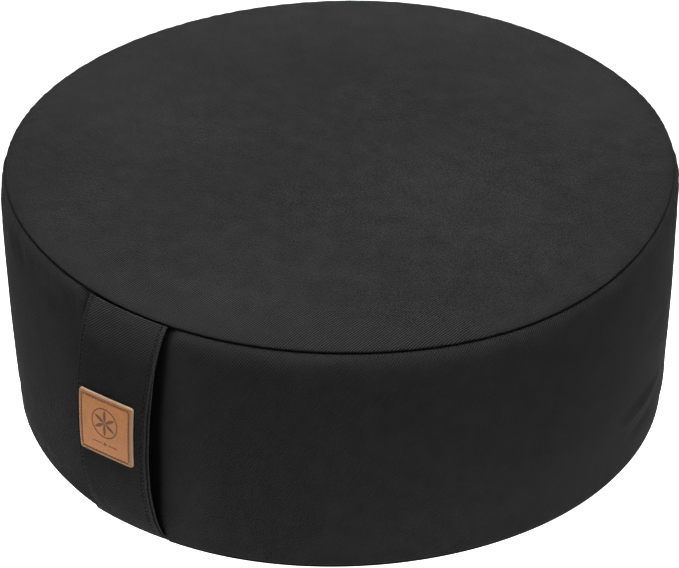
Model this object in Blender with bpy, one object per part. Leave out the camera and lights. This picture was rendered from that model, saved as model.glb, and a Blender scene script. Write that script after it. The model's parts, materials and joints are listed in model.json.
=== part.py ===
"""Round meditation cushion: one filled drum, a sewn-in handle strap and a leather patch.

The origin is the centre of the flat base, +Z is up and the handle faces -Y. Azimuths are in
degrees, anticlockwise from +X seen from above. A height is measured up from the base, and a
reach is measured from the drum's axis towards -Y.
"""
import math

import bmesh
import bpy

# Drum: the side band bulges a little at its middle and draws in towards both seams.
WALL_RADIUS_TOP = 0.2007
WALL_RADIUS_MIDDLE = 0.1991
WALL_RADIUS_LOW = 0.1946
SEAM_RADIUS = 0.1984
SEAM_HEIGHT = 0.1539
TOP_ROUNDING = 0.014
BASE_ROUNDING = 0.0071

# Top seam: a pinched line between the top panel's rolled edge and the band.
SEAM_DEPTH = 0.0016
SEAM_HALF_WIDTH = 0.0010
PANEL_EDGE_RADIUS = 0.1979
PANEL_EDGE_RISE = 0.0008
PANEL_ROLL_RISE = 0.0010
PANEL_ROLL_WIDTH = 0.006

# Crown of the top panel above its rolled edge.
CROWN = 0.0098
CROWN_POWER = 2.5

# Bottom seam: a shallow pinch low on the base rounding.
BASE_SEAM_HEIGHT = 0.0034
BASE_SEAM_DEPTH = 0.0006

# Unevenness of the soft drum. Columns: waves round the drum, size, azimuth of a crest.
SEAM_WAVES = (
    (1, 0.0007, 180.0),
    (2, 0.0024, 61.5),
    (3, 0.0023, 20.5),
    (4, 0.0008, 37.0),
    (5, 0.0005, 28.5),
)
PLAN_WAVES = (
    (2, 0.0011, 82.0),
    (3, 0.0008, 73.5),
    (4, 0.0012, 2.0),
)

# Soft troughs in the band, where the cloth is slack over the filling. Columns: azimuth and
# height of one end, azimuth and height of the other end, half width, depth.
FOLDS = (
    (17.0, 0.046, 3.0, 0.048, 0.0080, 0.0011),
    (14.0, 0.031, 2.0, 0.026, 0.0080, 0.0011),
    (20.0, 0.085, 3.0, 0.092, 0.0095, 0.0007),
    (-122.0, 0.151, -118.0, 0.138, 0.0090, 0.0009),
    (-115.0, 0.142, -106.0, 0.137, 0.0100, 0.0010),
    (64.0, 0.030, 79.0, 0.044, 0.0100, 0.0010),
    (98.0, 0.120, 104.0, 0.092, 0.0120, 0.0009),
    (141.0, 0.034, 128.0, 0.048, 0.0095, 0.0011),
    (172.0, 0.138, 163.0, 0.118, 0.0110, 0.0009),
    (-151.0, 0.040, -163.0, 0.030, 0.0095, 0.0010),
)

# Seats of the strap's ends: the band is drawn in across the strap's width at both seams.
SEAT_DEPTH = 0.0026
SEAT_LENGTH = 0.010
BASE_SEAT_DEPTH = 0.0024
BASE_SEAT_FULL = 0.005
BASE_SEAT_END = 0.014
SEAT_MIDDLE = -89.9
SEAT_HALF_ANGLE = 8.7
SEAT_EDGE_ANGLE = 2.0

# Columns of faces round the drum: a coarse step, and a fine one where the folds and handle are.
COARSE_STEP = 4.0
FINE_STEP = 2.0
FINE_SECTORS = ((-126.0, -74.0), (-2.0, 22.0))

# Rings of faces: shares of the panel's radius, then nominal heights up the band.
PANEL_RINGS = (0.14, 0.28, 0.42, 0.55, 0.67, 0.78, 0.87, 0.93, 0.965, 0.985)
BAND_HEIGHTS = (
    0.1516, 0.1492, 0.1455, 0.1406, 0.1338, 0.1250, 0.1142, 0.1024, 0.0906, 0.0788,
    0.0680, 0.0582, 0.0503, 0.0434, 0.0365, 0.0296, 0.0227, 0.0158, 0.0109, 0.0078,
    0.0052,
)
BASE_HEIGHTS = (0.0018, 0.0005, 0.0)

# Handle strap, from the top seam to the bottom seam. Columns: height, reach of the front face,
# place of the strap's middle along X, width, slope across the face, sag of the edges.
STRAP_STATIONS = (
    (0.1539, 0.2006, 0.0017, 0.0541, -0.020, 0.0018),
    (0.1475, 0.2045, 0.0010, 0.0541, -0.016, 0.0016),
    (0.1380, 0.2081, 0.0003, 0.0536, -0.010, 0.0013),
    (0.1230, 0.2112, -0.0006, 0.0529, -0.002, 0.0009),
    (0.1030, 0.2139, -0.0017, 0.0519, 0.003, 0.0006),
    (0.0830, 0.2149, -0.0026, 0.0511, 0.005, 0.0005),
    (0.0640, 0.2144, -0.0032, 0.0504, 0.005, 0.0005),
    (0.0450, 0.2125, -0.0037, 0.0497, 0.006, 0.0007),
    (0.0280, 0.2088, -0.0040, 0.0492, 0.008, 0.0011),
    (0.0150, 0.2040, -0.0040, 0.0490, 0.009, 0.0015),
    (0.0080, 0.2002, -0.0038, 0.0491, 0.010, 0.0016),
    (0.0045, 0.1967, -0.0036, 0.0494, 0.010, 0.0017),
    (0.0027, 0.1949, -0.0034, 0.0497, 0.010, 0.0017),
)
STRAP_THICKNESS = 0.0024
STRAP_END_THICKNESS = 0.0013
STRAP_END_TAPER = 0.010
STRAP_ROWS = 34
STRAP_ACROSS = (-1.0, -0.93, -0.86, -0.5, 0.0, 0.5, 0.86, 0.93, 1.0)
STRAP_EDGE_SOFTNESS = 0.0006
HEM_LINE = 0.93
HEM_GROOVE = 0.0003
LEFT_CURL = 0.0022
LEFT_CURL_START = 0.7

# Leather patch, sewn flat on the strap.
PATCH_SIDE = 0.0390
PATCH_THICKNESS = 0.0020
PATCH_CORNER = 0.0028
PATCH_HEIGHT = 0.0821
PATCH_ACROSS = -0.0034
PATCH_GAP = 0.0003
PATCH_CORNER_STEPS = 5
PATCH_EDGE_STEPS = 4
PATCH_RINGS = (0.30, 0.62, 0.88)
PATCH_EDGE_ROUND = 0.0004

CLOTH_COLOUR = (0.030, 0.030, 0.031)
LEATHER_COLOUR = (0.42, 0.18, 0.06)


def clear_scene():
    """Remove whatever the scene already holds."""
    for thing in list(bpy.data.objects):
        bpy.data.objects.remove(thing, do_unlink=True)


def make_material(name, colour, roughness):
    """A plain Principled material."""
    material = bpy.data.materials.new(name)
    material.use_nodes = True
    shader = material.node_tree.nodes["Principled BSDF"]
    shader.inputs["Base Color"].default_value = (*colour, 1.0)
    shader.inputs["Roughness"].default_value = roughness
    shader.inputs["Metallic"].default_value = 0.0
    return material


def make_object(name, mesh_builder, material):
    """Turn a bmesh into a named, smooth-shaded object with its own material."""
    mesh_builder.normal_update()
    bmesh.ops.recalc_face_normals(mesh_builder, faces=mesh_builder.faces)
    mesh = bpy.data.meshes.new(name)
    mesh_builder.to_mesh(mesh)
    mesh_builder.free()
    mesh.shade_smooth()
    mesh.set_sharp_from_angle(angle=math.radians(50))
    mesh.materials.append(material)
    thing = bpy.data.objects.new(name, mesh)
    bpy.context.collection.objects.link(thing)
    return thing


def join_rings(builder, upper, lower):
    """Close the strip of faces between two rings with the same number of points."""
    count = len(upper)
    for index in range(count):
        following = (index + 1) % count
        builder.faces.new((upper[index], lower[index], lower[following], upper[following]))


def waves(table, azimuth):
    """Sum of the low waves in a table at an azimuth."""
    total = 0.0
    for order, size, crest in table:
        total += size * math.cos(order * math.radians(azimuth - crest))
    return total


def seam_height(azimuth):
    """Height of the top seam, which rises and falls round the soft drum."""
    return SEAM_HEIGHT + waves(SEAM_WAVES, azimuth)


def plan_scale(azimuth):
    """Share by which the drum is out of round."""
    return 1.0 + waves(PLAN_WAVES, azimuth) / WALL_RADIUS_MIDDLE


def round_in(distance, length):
    """Share of a rounding's inset at a distance from its end, as on a quarter circle."""
    if distance >= length:
        return 0.0
    rest = 1.0 - distance / length
    return 1.0 - math.sqrt(1.0 - rest * rest)


def fold_depth(azimuth, height):
    """Depth of the soft troughs at a place on the band."""
    total = 0.0
    for start_azimuth, start_height, end_azimuth, end_height, half_width, depth in FOLDS:
        scale = math.radians(1.0) * WALL_RADIUS_MIDDLE
        offset = (azimuth - start_azimuth + 180.0) % 360.0 - 180.0
        along = (end_azimuth - start_azimuth) * scale
        rise = end_height - start_height
        across_x = offset * scale
        across_z = height - start_height
        share = (across_x * along + across_z * rise) / (along * along + rise * rise)
        share = min(1.0, max(0.0, share))
        distance = math.hypot(across_x - share * along, across_z - share * rise)
        if distance < half_width:
            total += depth * (1.0 - (distance / half_width) ** 2) ** 2
    return total


def seat_depth(azimuth, height):
    """Depth of the seats that the strap's sewn ends lie in."""
    offset = abs((azimuth - SEAT_MIDDLE + 180.0) % 360.0 - 180.0)
    side = min(1.0, max(0.0, (SEAT_HALF_ANGLE + SEAT_EDGE_ANGLE - offset) / SEAT_EDGE_ANGLE))
    upper = max(0.0, 1.0 - (seam_height(azimuth) - height) / SEAT_LENGTH)
    lower = (BASE_SEAT_END - height) / (BASE_SEAT_END - BASE_SEAT_FULL)
    lower = min(1.0, max(0.0, lower))
    return side * (SEAT_DEPTH * upper + BASE_SEAT_DEPTH * lower)


def band_radius(azimuth, height):
    """Radius of the side band at a height, with its bulge, roundings and folds."""
    full = seam_height(azimuth)
    share = height / full
    low_term = 2.0 * (share - 0.5) * (share - 1.0) * WALL_RADIUS_LOW
    middle_term = 4.0 * share * (1.0 - share) * WALL_RADIUS_MIDDLE
    top_term = 2.0 * share * (share - 0.5) * WALL_RADIUS_TOP
    radius = low_term + middle_term + top_term
    radius -= (WALL_RADIUS_TOP - SEAM_RADIUS) * round_in(full - height, TOP_ROUNDING)
    radius -= BASE_ROUNDING * round_in(height, BASE_ROUNDING)
    radius -= fold_depth(azimuth, height)
    radius -= seat_depth(azimuth, height)
    return radius * plan_scale(azimuth)


def panel_height(azimuth, share):
    """Height of the top panel at a share of its radius."""
    level = SEAM_HEIGHT + waves(SEAM_WAVES, azimuth) * share ** 2
    inward = (1.0 - share) * PANEL_EDGE_RADIUS
    roll = PANEL_ROLL_RISE * (1.0 - math.exp(-inward / PANEL_ROLL_WIDTH))
    return level + PANEL_EDGE_RISE + roll + CROWN * (1.0 - share ** CROWN_POWER)


def column_azimuths():
    """Azimuths of the columns of faces, closer together in the fine sectors."""
    azimuths = []
    azimuth = -180.0
    while azimuth < 180.0:
        azimuths.append(azimuth)
        fine = any(start <= azimuth < end for start, end in FINE_SECTORS)
        azimuth += FINE_STEP if fine else COARSE_STEP
    return azimuths


def around(azimuth, radius, height):
    """Point at an azimuth, radius and height."""
    angle = math.radians(azimuth)
    return (radius * math.cos(angle), radius * math.sin(angle), height)


def build_cushion(material):
    """The filled drum: top panel, side band and base as one closed solid."""
    azimuths = column_azimuths()
    rings = []
    for share in PANEL_RINGS + (1.0,):
        ring = []
        for azimuth in azimuths:
            radius = share * PANEL_EDGE_RADIUS * plan_scale(azimuth)
            ring.append(around(azimuth, radius, panel_height(azimuth, share)))
        rings.append(ring)
    groove_radius = SEAM_RADIUS - SEAM_DEPTH
    rings.append([around(a, groove_radius * plan_scale(a), seam_height(a)) for a in azimuths])
    lip = []
    for azimuth in azimuths:
        height = seam_height(azimuth) - SEAM_HALF_WIDTH
        lip.append(around(azimuth, band_radius(azimuth, height), height))
    rings.append(lip)
    for nominal in BAND_HEIGHTS:
        ring = []
        for azimuth in azimuths:
            height = nominal * seam_height(azimuth) / SEAM_HEIGHT
            ring.append(around(azimuth, band_radius(azimuth, height), height))
        rings.append(ring)
    base_seam = []
    for azimuth in azimuths:
        radius = band_radius(azimuth, BASE_SEAM_HEIGHT) - BASE_SEAM_DEPTH
        base_seam.append(around(azimuth, radius, BASE_SEAM_HEIGHT))
    rings.append(base_seam)
    for height in BASE_HEIGHTS:
        rings.append([around(a, band_radius(a, height), height) for a in azimuths])

    builder = bmesh.new()
    points = [[builder.verts.new(place) for place in ring] for ring in rings]
    middle = builder.verts.new((0.0, 0.0, panel_height(0.0, 0.0)))
    count = len(azimuths)
    for index in range(count):
        builder.faces.new((middle, points[0][index], points[0][(index + 1) % count]))
    for upper, lower in zip(points, points[1:]):
        join_rings(builder, upper, lower)
    builder.faces.new(list(reversed(points[-1])))
    return make_object("cushion", builder, material)


def strap_value(column, height):
    """Value of a column of the strap's table at a height, on a smooth curve through its rows."""
    rows = STRAP_STATIONS
    height = min(rows[0][0], max(rows[-1][0], height))
    index = 0
    while index < len(rows) - 2 and height < rows[index + 1][0]:
        index += 1

    def slope(row):
        before = rows[max(row - 1, 0)]
        after = rows[min(row + 1, len(rows) - 1)]
        return (after[column] - before[column]) / (after[0] - before[0])

    start, end = rows[index], rows[index + 1]
    step = end[0] - start[0]
    share = (height - start[0]) / step
    cube, square = share ** 3, share ** 2
    value = (2.0 * cube - 3.0 * square + 1.0) * start[column]
    value += (cube - 2.0 * square + share) * step * slope(index)
    value += (3.0 * square - 2.0 * cube) * end[column]
    value += (cube - square) * step * slope(index + 1)
    return value


def strap_normal(height):
    """Outward direction of the strap's face at a height, as reach and rise."""
    step = 0.0008
    upper = min(STRAP_STATIONS[0][0], height + step)
    lower = max(STRAP_STATIONS[-1][0], height - step)
    reach_change = strap_value(1, upper) - strap_value(1, lower)
    rise = upper - lower
    length = math.hypot(reach_change, rise)
    return rise / length, -reach_change / length


def strap_place(across, height, depth):
    """Point of the strap: across from -1 to 1, at a depth behind its front face."""
    reach = strap_value(1, height)
    half = strap_value(3, height) / 2.0
    reach += strap_value(4, height) * across * half
    reach -= strap_value(5, height) * across * across
    middle_height = STRAP_STATIONS[0][0] / 2.0
    openness = max(0.0, 1.0 - ((height - middle_height) / middle_height) ** 2)
    curled = max(0.0, (-across - LEFT_CURL_START) / (1.0 - LEFT_CURL_START))
    reach -= LEFT_CURL * openness * curled ** 2
    outward, upward = strap_normal(height)
    x = strap_value(2, height) + across * half
    y = -(reach - depth * outward)
    azimuth = math.degrees(math.atan2(y, x))
    return (x, y, (height - depth * upward) * seam_height(azimuth) / SEAM_HEIGHT)


def strap_thickness(height):
    """Thickness of the strap, which is pressed thinner where its ends are sewn in."""
    top = STRAP_STATIONS[0][0]
    bottom = STRAP_STATIONS[-1][0]
    inward = min(top - height, height - bottom)
    share = min(1.0, inward / STRAP_END_TAPER)
    return STRAP_END_THICKNESS + (STRAP_THICKNESS - STRAP_END_THICKNESS) * share


def strap_heights():
    """Heights of the strap's rows, closer together towards its sewn ends."""
    top = STRAP_STATIONS[0][0]
    bottom = STRAP_STATIONS[-1][0]
    heights = []
    for row in range(STRAP_ROWS + 1):
        share = row / STRAP_ROWS
        eased = share - math.sin(2.0 * math.pi * share) / (2.0 * math.pi) * 0.55
        heights.append(top + (bottom - top) * eased)
    return heights


def build_strap(material):
    """The handle strap: a folded strip with soft edges and a groove along each hem line."""
    builder = bmesh.new()
    rows = []
    for height in strap_heights():
        thickness = strap_thickness(height)
        front, back = [], []
        for across in STRAP_ACROSS:
            edge = STRAP_EDGE_SOFTNESS if abs(across) == 1.0 else 0.0
            edge *= thickness / STRAP_THICKNESS
            groove = HEM_GROOVE if abs(across) == HEM_LINE else 0.0
            front.append(strap_place(across, height, edge + groove))
            back.append(strap_place(across, height, thickness - edge))
        rows.append([builder.verts.new(place) for place in front + back[::-1]])
    for upper, lower in zip(rows, rows[1:]):
        join_rings(builder, upper, lower)
    count = len(STRAP_ACROSS)
    for row in (rows[0], rows[-1]):
        for index in range(count - 1):
            corners = (row[index], row[index + 1], row[-index - 2], row[-index - 1])
            builder.faces.new(corners)
    return make_object("handle_strap", builder, material)


def patch_outline():
    """Places round the patch, as shares of its half side, with rounded corners."""
    half = PATCH_SIDE / 2.0
    inner = half - PATCH_CORNER
    places = []
    for quarter in range(4):
        start = quarter * 90.0
        corner = math.radians(start + 45.0)
        centre_x = math.copysign(inner, math.cos(corner))
        centre_z = math.copysign(inner, math.sin(corner))
        for step in range(PATCH_CORNER_STEPS + 1):
            angle = math.radians(start + 90.0 * step / PATCH_CORNER_STEPS)
            x = centre_x + PATCH_CORNER * math.cos(angle)
            z = centre_z + PATCH_CORNER * math.sin(angle)
            places.append((x / half, z / half))
        end_x, end_z = places[-1]
        turned_x, turned_z = -places[-PATCH_CORNER_STEPS - 1][1], places[-PATCH_CORNER_STEPS - 1][0]
        for step in range(1, PATCH_EDGE_STEPS):
            share = step / PATCH_EDGE_STEPS
            x = end_x + (turned_x - end_x) * share
            z = end_z + (turned_z - end_z) * share
            places.append((x, z))
    return places


def patch_place(share_x, share_z, lift):
    """Point of the patch at a lift in front of the strap's face."""
    half = PATCH_SIDE / 2.0
    height = PATCH_HEIGHT + share_z * half
    x = PATCH_ACROSS + share_x * half
    across = (x - strap_value(2, height)) / (strap_value(3, height) / 2.0)
    return strap_place(across, height, -lift)


def build_patch(material):
    """The leather patch: a rounded square that follows the strap's face."""
    outline = patch_outline()
    front = PATCH_GAP + PATCH_THICKNESS
    rounding = 1.0 - PATCH_EDGE_ROUND / (PATCH_SIDE / 2.0)
    layers = [(share, front) for share in PATCH_RINGS]
    layers.append((rounding, front))
    layers.append((1.0, front - PATCH_EDGE_ROUND))
    layers.append((1.0, PATCH_GAP))
    layers += [(share, PATCH_GAP) for share in reversed(PATCH_RINGS)]
    builder = bmesh.new()
    rings = []
    for share, lift in layers:
        ring = [builder.verts.new(patch_place(x * share, z * share, lift)) for x, z in outline]
        rings.append(ring)
    for upper, lower in zip(rings, rings[1:]):
        join_rings(builder, upper, lower)
    for ring, lift in ((rings[0], front), (rings[-1], PATCH_GAP)):
        middle = builder.verts.new(patch_place(0.0, 0.0, lift))
        for index in range(len(ring)):
            builder.faces.new((middle, ring[index], ring[(index + 1) % len(ring)]))
    return make_object("leather_patch", builder, material)


def main():
    """Build the three pieces."""
    clear_scene()
    build_cushion(make_material("charcoal_twill", CLOTH_COLOUR, 0.85))
    build_strap(make_material("charcoal_strap", CLOTH_COLOUR, 0.85))
    build_patch(make_material("tan_leather", LEATHER_COLOUR, 0.55))


main()
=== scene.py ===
"""Dresses the round meditation cushion: cloth body, carrying strap, leather patch and stage."""
import json
import math

import bmesh
import bpy
import numpy as np
from bpy.props import FloatProperty, FloatVectorProperty, IntProperty, PointerProperty
from mathutils import Matrix, Vector, kdtree, noise

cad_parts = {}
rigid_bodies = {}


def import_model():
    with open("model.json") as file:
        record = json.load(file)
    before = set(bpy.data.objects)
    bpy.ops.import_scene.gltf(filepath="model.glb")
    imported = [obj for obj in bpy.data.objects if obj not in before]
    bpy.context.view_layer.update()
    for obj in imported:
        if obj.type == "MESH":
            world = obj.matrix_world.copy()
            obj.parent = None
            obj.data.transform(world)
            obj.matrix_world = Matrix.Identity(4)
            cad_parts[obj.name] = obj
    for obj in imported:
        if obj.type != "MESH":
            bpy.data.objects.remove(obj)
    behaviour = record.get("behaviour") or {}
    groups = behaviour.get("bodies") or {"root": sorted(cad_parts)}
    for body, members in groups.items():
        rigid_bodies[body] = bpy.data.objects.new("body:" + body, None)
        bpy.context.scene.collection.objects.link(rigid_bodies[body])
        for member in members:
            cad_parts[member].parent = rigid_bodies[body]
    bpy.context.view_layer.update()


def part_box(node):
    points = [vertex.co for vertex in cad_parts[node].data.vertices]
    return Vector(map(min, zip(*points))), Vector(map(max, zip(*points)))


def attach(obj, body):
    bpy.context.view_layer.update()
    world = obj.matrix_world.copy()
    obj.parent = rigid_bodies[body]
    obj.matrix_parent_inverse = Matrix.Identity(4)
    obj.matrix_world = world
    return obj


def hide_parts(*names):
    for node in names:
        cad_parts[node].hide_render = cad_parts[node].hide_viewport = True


for left_over in list(bpy.data.objects):
    bpy.data.objects.remove(left_over, do_unlink=True)
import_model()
PATCH_LOW, PATCH_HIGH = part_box("leather_patch")

bl_info = {
    "name": "Round Meditation Cushion",
    "version": (1, 0, 0),
    "blender": (4, 5, 0),
    "location": "3D View > Sidebar > Cushion",
    "description": "Builds a round filled cushion with a carrying strap and a leather patch",
    "category": "Object",
}

# Unevenness of the soft drum. Columns: waves round the drum, size in metres, azimuth of a crest.
SEAM_WAVES = (
    (1, 0.0007, 180.0),
    (2, 0.0024, 61.5),
    (3, 0.0023, 20.5),
    (4, 0.0008, 37.0),
    (5, 0.0005, 28.5),
)
PLAN_WAVES = (
    (2, 0.0011, 82.0),
    (3, 0.0008, 73.5),
    (4, 0.0012, 2.0),
)

# Soft troughs and, with a negative depth, ridges in the band. Columns: azimuth and height of one
# end, azimuth and height of the other end, half width, depth.
FOLDS = (
    (17.0, 0.047, 3.0, 0.049, 0.0080, 0.0007),
    (15.0, 0.028, 4.0, 0.026, 0.0080, 0.0007),
    (20.0, 0.085, 3.0, 0.092, 0.0095, 0.0007),
    (-122.0, 0.151, -118.0, 0.138, 0.0090, 0.0009),
    (-115.0, 0.142, -106.0, 0.137, 0.0100, 0.0010),
    (64.0, 0.030, 79.0, 0.044, 0.0100, 0.0010),
    (98.0, 0.120, 104.0, 0.092, 0.0120, 0.0009),
    (141.0, 0.034, 128.0, 0.048, 0.0095, 0.0011),
    (172.0, 0.138, 163.0, 0.118, 0.0110, 0.0009),
    (-151.0, 0.040, -163.0, 0.030, 0.0095, 0.0010),
)
FINE_FOLDS = (
    (3.0, 0.0400, 20.5, 0.0420, 0.0056, -0.0015),
    (1.0, 0.0500, 10.0, 0.0478, 0.0046, 0.0003),
    (5.0, 0.0275, 18.5, 0.0290, 0.0046, 0.0006),
    (20.0, 0.088, 10.0, 0.0945, 0.0045, 0.0005),
    (-99.5, 0.153, -99.5, 0.143, 0.0035, -0.0005),
    (-103.0, 0.150, -104.0, 0.138, 0.0050, 0.0006),
    (-124.5, 0.146, -121.0, 0.134, 0.0045, 0.0006),
    (-70.0, 0.148, -64.0, 0.140, 0.0050, 0.0004),
    (1.5, 0.150, -1.0, 0.143, 0.0035, 0.0005),
    (58.0, 0.148, 54.0, 0.139, 0.0045, 0.0005),
    (121.0, 0.153, 124.0, 0.142, 0.0045, 0.0005),
    (-172.0, 0.150, -169.0, 0.141, 0.0045, 0.0005),
)

# Turn of the round panels' cloth against the drum, in radians.
PANEL_CLOTH_TURN = -0.52

# Rings of the drum's mesh, in metres. The top panel's lie in from its edge, then a step apart up
# to its middle. The band's lie down from the top seam, then in spans that end at a height, then at
# heights by the foot. The bottom seam's give a height and how far the ring is pinched in.
PANEL_RINGS = (0.0, 0.0002, 0.0005, 0.0009, 0.0014, 0.0020, 0.0028, 0.0038, 0.0051, 0.0067,
               0.0087, 0.0111, 0.0139, 0.0171, 0.0207)
PANEL_RING_STEP = 0.0062
PANEL_MIDDLE = 0.012
BAND_RINGS = (0.0001, 0.0002, 0.0004, 0.0007, 0.0012, 0.0018, 0.0026, 0.0037, 0.0051, 0.0069,
              0.0091, 0.0118, 0.0150)
BAND_SPANS = ((0.0620, 21), (0.0128, 26))
FOOT_RINGS = (0.0108, 0.0091, 0.0077, 0.0066, 0.0057)
BASE_SEAM_HEIGHT = 0.0035
BASE_SEAM_RINGS = (
    (0.0050, 0.02), (0.0044, 0.16), (0.0039, 0.55), (0.0035, 1.0), (0.0031, 0.55), (0.0026, 0.16),
    (0.0021, 0.02), (0.0015, 0.0), (0.0010, 0.0), (0.0005, 0.0), (0.0002, 0.0), (0.0, 0.0),
)
BASE_SHARES = (0.97, 0.92, 0.84, 0.72, 0.58, 0.42, 0.26, 0.12)
BASE_SEAM_RADIUS = 0.1915
PANEL_ABOVE = 0.145

# Simulated slackness, in metres, and the frames that it runs for.
SLACK_COLUMNS = 240
SLACK_VOXEL = 0.0055
SLACK_START = 0.0009
SLACK_SEWN = 0.0045
SLACK_SPREAD = 0.00042
SLACK_FRAMES = 20
SLACK_CLOTH = {
    "quality": 6, "mass": 0.25, "tension_stiffness": 25.0, "compression_stiffness": 25.0,
    "shear_stiffness": 10.0, "bending_stiffness": 1.2, "shrink_min": -0.035, "use_pressure": True,
    "uniform_pressure_force": 4.0, "vertex_group_mass": "sewn", "pin_stiffness": 8.0,
}

# Lumps of the filling. Columns: scale of the pattern, its shift, size in metres.
LUMPS = (
    (11.0, (3.1, 0.0, 7.7), 0.0009),
    (27.0, (0.0, 5.3, 1.2), 0.00028),
    (64.0, (0.0, 0.0, 0.0), 0.00005),
)

# Seats of the strap's ends, in degrees round the drum and metres.
SEAT_MIDDLE = -89.9
SEAT_HALF_ANGLE = 8.7
SEAT_EDGE_ANGLE = 2.0
SEAT_DEPTH = 0.0026
SEAT_LENGTH = 0.010
BASE_SEAT_MIDDLE = -91.1
BASE_SEAT_HALF_ANGLE = 6.3
BASE_SEAT_EDGE_ANGLE = 1.0
BASE_SEAT_DEPTH = 0.0024
BASE_SEAT_FULL = 0.005
BASE_SEAT_END = 0.014

# Carrying strap, from the top seam to the bottom seam. Columns: height, reach of the front face,
# place of the strap's middle along X, width, slope across the face, sag of the edges.
STRAP_STATIONS = (
    (0.1539, 0.2006, 0.0017, 0.0541, -0.020, 0.0018),
    (0.1475, 0.2045, 0.0010, 0.0541, -0.016, 0.0016),
    (0.1380, 0.2081, 0.0003, 0.0536, -0.010, 0.0013),
    (0.1230, 0.2112, -0.0006, 0.0529, -0.002, 0.0009),
    (0.1030, 0.2139, -0.0017, 0.0519, 0.003, 0.0006),
    (0.0830, 0.2149, -0.0026, 0.0511, 0.005, 0.0005),
    (0.0640, 0.2144, -0.0032, 0.0504, 0.005, 0.0005),
    (0.0450, 0.2125, -0.0037, 0.0497, 0.006, 0.0007),
    (0.0280, 0.2088, -0.0040, 0.0492, 0.008, 0.0011),
    (0.0150, 0.2040, -0.0040, 0.0490, 0.009, 0.0015),
    (0.0080, 0.2002, -0.0038, 0.0491, 0.010, 0.0016),
    (0.0045, 0.1967, -0.0036, 0.0494, 0.010, 0.0017),
    (0.0027, 0.1949, -0.0034, 0.0497, 0.010, 0.0017),
)
STRAP_END_THICKNESS = 0.0013
STRAP_END_TAPER = 0.010
LEFT_CURL = 0.0022
LEFT_CURL_START = 0.7
RIGHT_EASE = 0.0004

# Strap's mesh: rows along it, columns across its front, steps beside the stitching line, and
# shares of its thickness where the rounded edges have a column.
STRAP_ROWS = 190
STRAP_COLUMNS = 46
STITCH_STEPS = (-0.045, -0.03, -0.018, -0.009, 0.0, 0.009, 0.018)
EDGE_SHARES = (0.02, 0.08, 0.17, 0.28, 0.36, 0.41, 0.44, 0.47, 0.52, 0.60, 0.72, 0.85, 0.95)
SPLIT_SHARE = 0.44

# Patch's mesh: cells along a side, gap to the strap in metres, and the rings of its cut edge as
# shares of the thickness and of the side.
PATCH_CELLS = 150
PATCH_GAP = 0.0001
PATCH_RINGS = ((0.62, 1.004), (0.35, 1.006), (0.12, 1.0), (0.0, 0.985))


class CushionDrum(bpy.types.PropertyGroup):
    """Sizes of the filled drum."""

    wall_top: FloatProperty(
        name="Wall radius, top", description="Radius of the side band just under the top seam",
        default=0.2007, min=0.1, max=0.4, unit="LENGTH")
    wall_middle: FloatProperty(
        name="Wall radius, middle", description="Radius of the side band halfway up",
        default=0.1991, min=0.1, max=0.4, unit="LENGTH")
    wall_low: FloatProperty(
        name="Wall radius, low", description="Radius of the side band at its foot",
        default=0.1946, min=0.1, max=0.4, unit="LENGTH")
    seam_radius: FloatProperty(
        name="Seam radius", description="Radius of the top seam line",
        default=0.1984, min=0.1, max=0.4, unit="LENGTH")
    seam_height: FloatProperty(
        name="Seam height", description="Mean height of the top seam line",
        default=0.1539, min=0.05, max=0.3, unit="LENGTH")
    top_rounding: FloatProperty(
        name="Top rounding", description="Height over which the band rounds in under the top seam",
        default=0.014, min=0.001, max=0.05, unit="LENGTH")
    base_rounding: FloatProperty(
        name="Base rounding", description="Radius of the soft edge at the base",
        default=0.0071, min=0.001, max=0.05, unit="LENGTH")
    edge_radius: FloatProperty(
        name="Panel edge radius",
        description="Radius of the top panel where it turns into the seam",
        default=0.1979, min=0.1, max=0.4, unit="LENGTH")
    crown: FloatProperty(
        name="Crown", description="Rise of the top panel's middle above its edge",
        default=0.0098, min=0.0, max=0.05, unit="LENGTH")
    seam_pinch: FloatProperty(
        name="Seam pinch", description="Depth to which the seams pull the cloth in",
        default=0.0026, min=0.0, max=0.01, unit="LENGTH")
    seam_gap: FloatProperty(
        name="Seam gap", description="Height of the dark gap between panel and band at the seam",
        default=0.0003, min=0.0, max=0.004, unit="LENGTH")
    lip: FloatProperty(
        name="Lip", description="Height over which the band rounds out under the seam",
        default=0.0100, min=0.001, max=0.03, unit="LENGTH")
    pucker: FloatProperty(
        name="Pucker", description="Size of the small gathers along the seams",
        default=0.00030, min=0.0, max=0.003, unit="LENGTH")
    slack: FloatProperty(
        name="Slack", description="Most that the simulated slackness may move the cloth",
        default=0.0012, min=0.0, max=0.01, unit="LENGTH")
    columns: IntProperty(
        name="Columns", description="Columns of faces round the drum",
        default=720, min=120, max=1440)


class CushionStrap(bpy.types.PropertyGroup):
    """Sizes of the carrying strap."""

    thickness: FloatProperty(
        name="Thickness", description="Thickness of the folded strap",
        default=0.0024, min=0.0005, max=0.01, unit="LENGTH")
    stitch_inset: FloatProperty(
        name="Stitch inset", description="Distance of the edge stitching from the strap's edge",
        default=0.0027, min=0.0005, max=0.01, unit="LENGTH")
    stitch_length: FloatProperty(
        name="Stitch length", description="Length of one stitch of the edge stitching",
        default=0.0024, min=0.0005, max=0.01, unit="LENGTH")
    stitch_pitch: FloatProperty(
        name="Stitch pitch", description="Distance from one stitch to the next",
        default=0.0030, min=0.0005, max=0.01, unit="LENGTH")
    thread: FloatProperty(
        name="Thread", description="Thickness of the sewing thread",
        default=0.00045, min=0.0001, max=0.002, unit="LENGTH")


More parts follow.
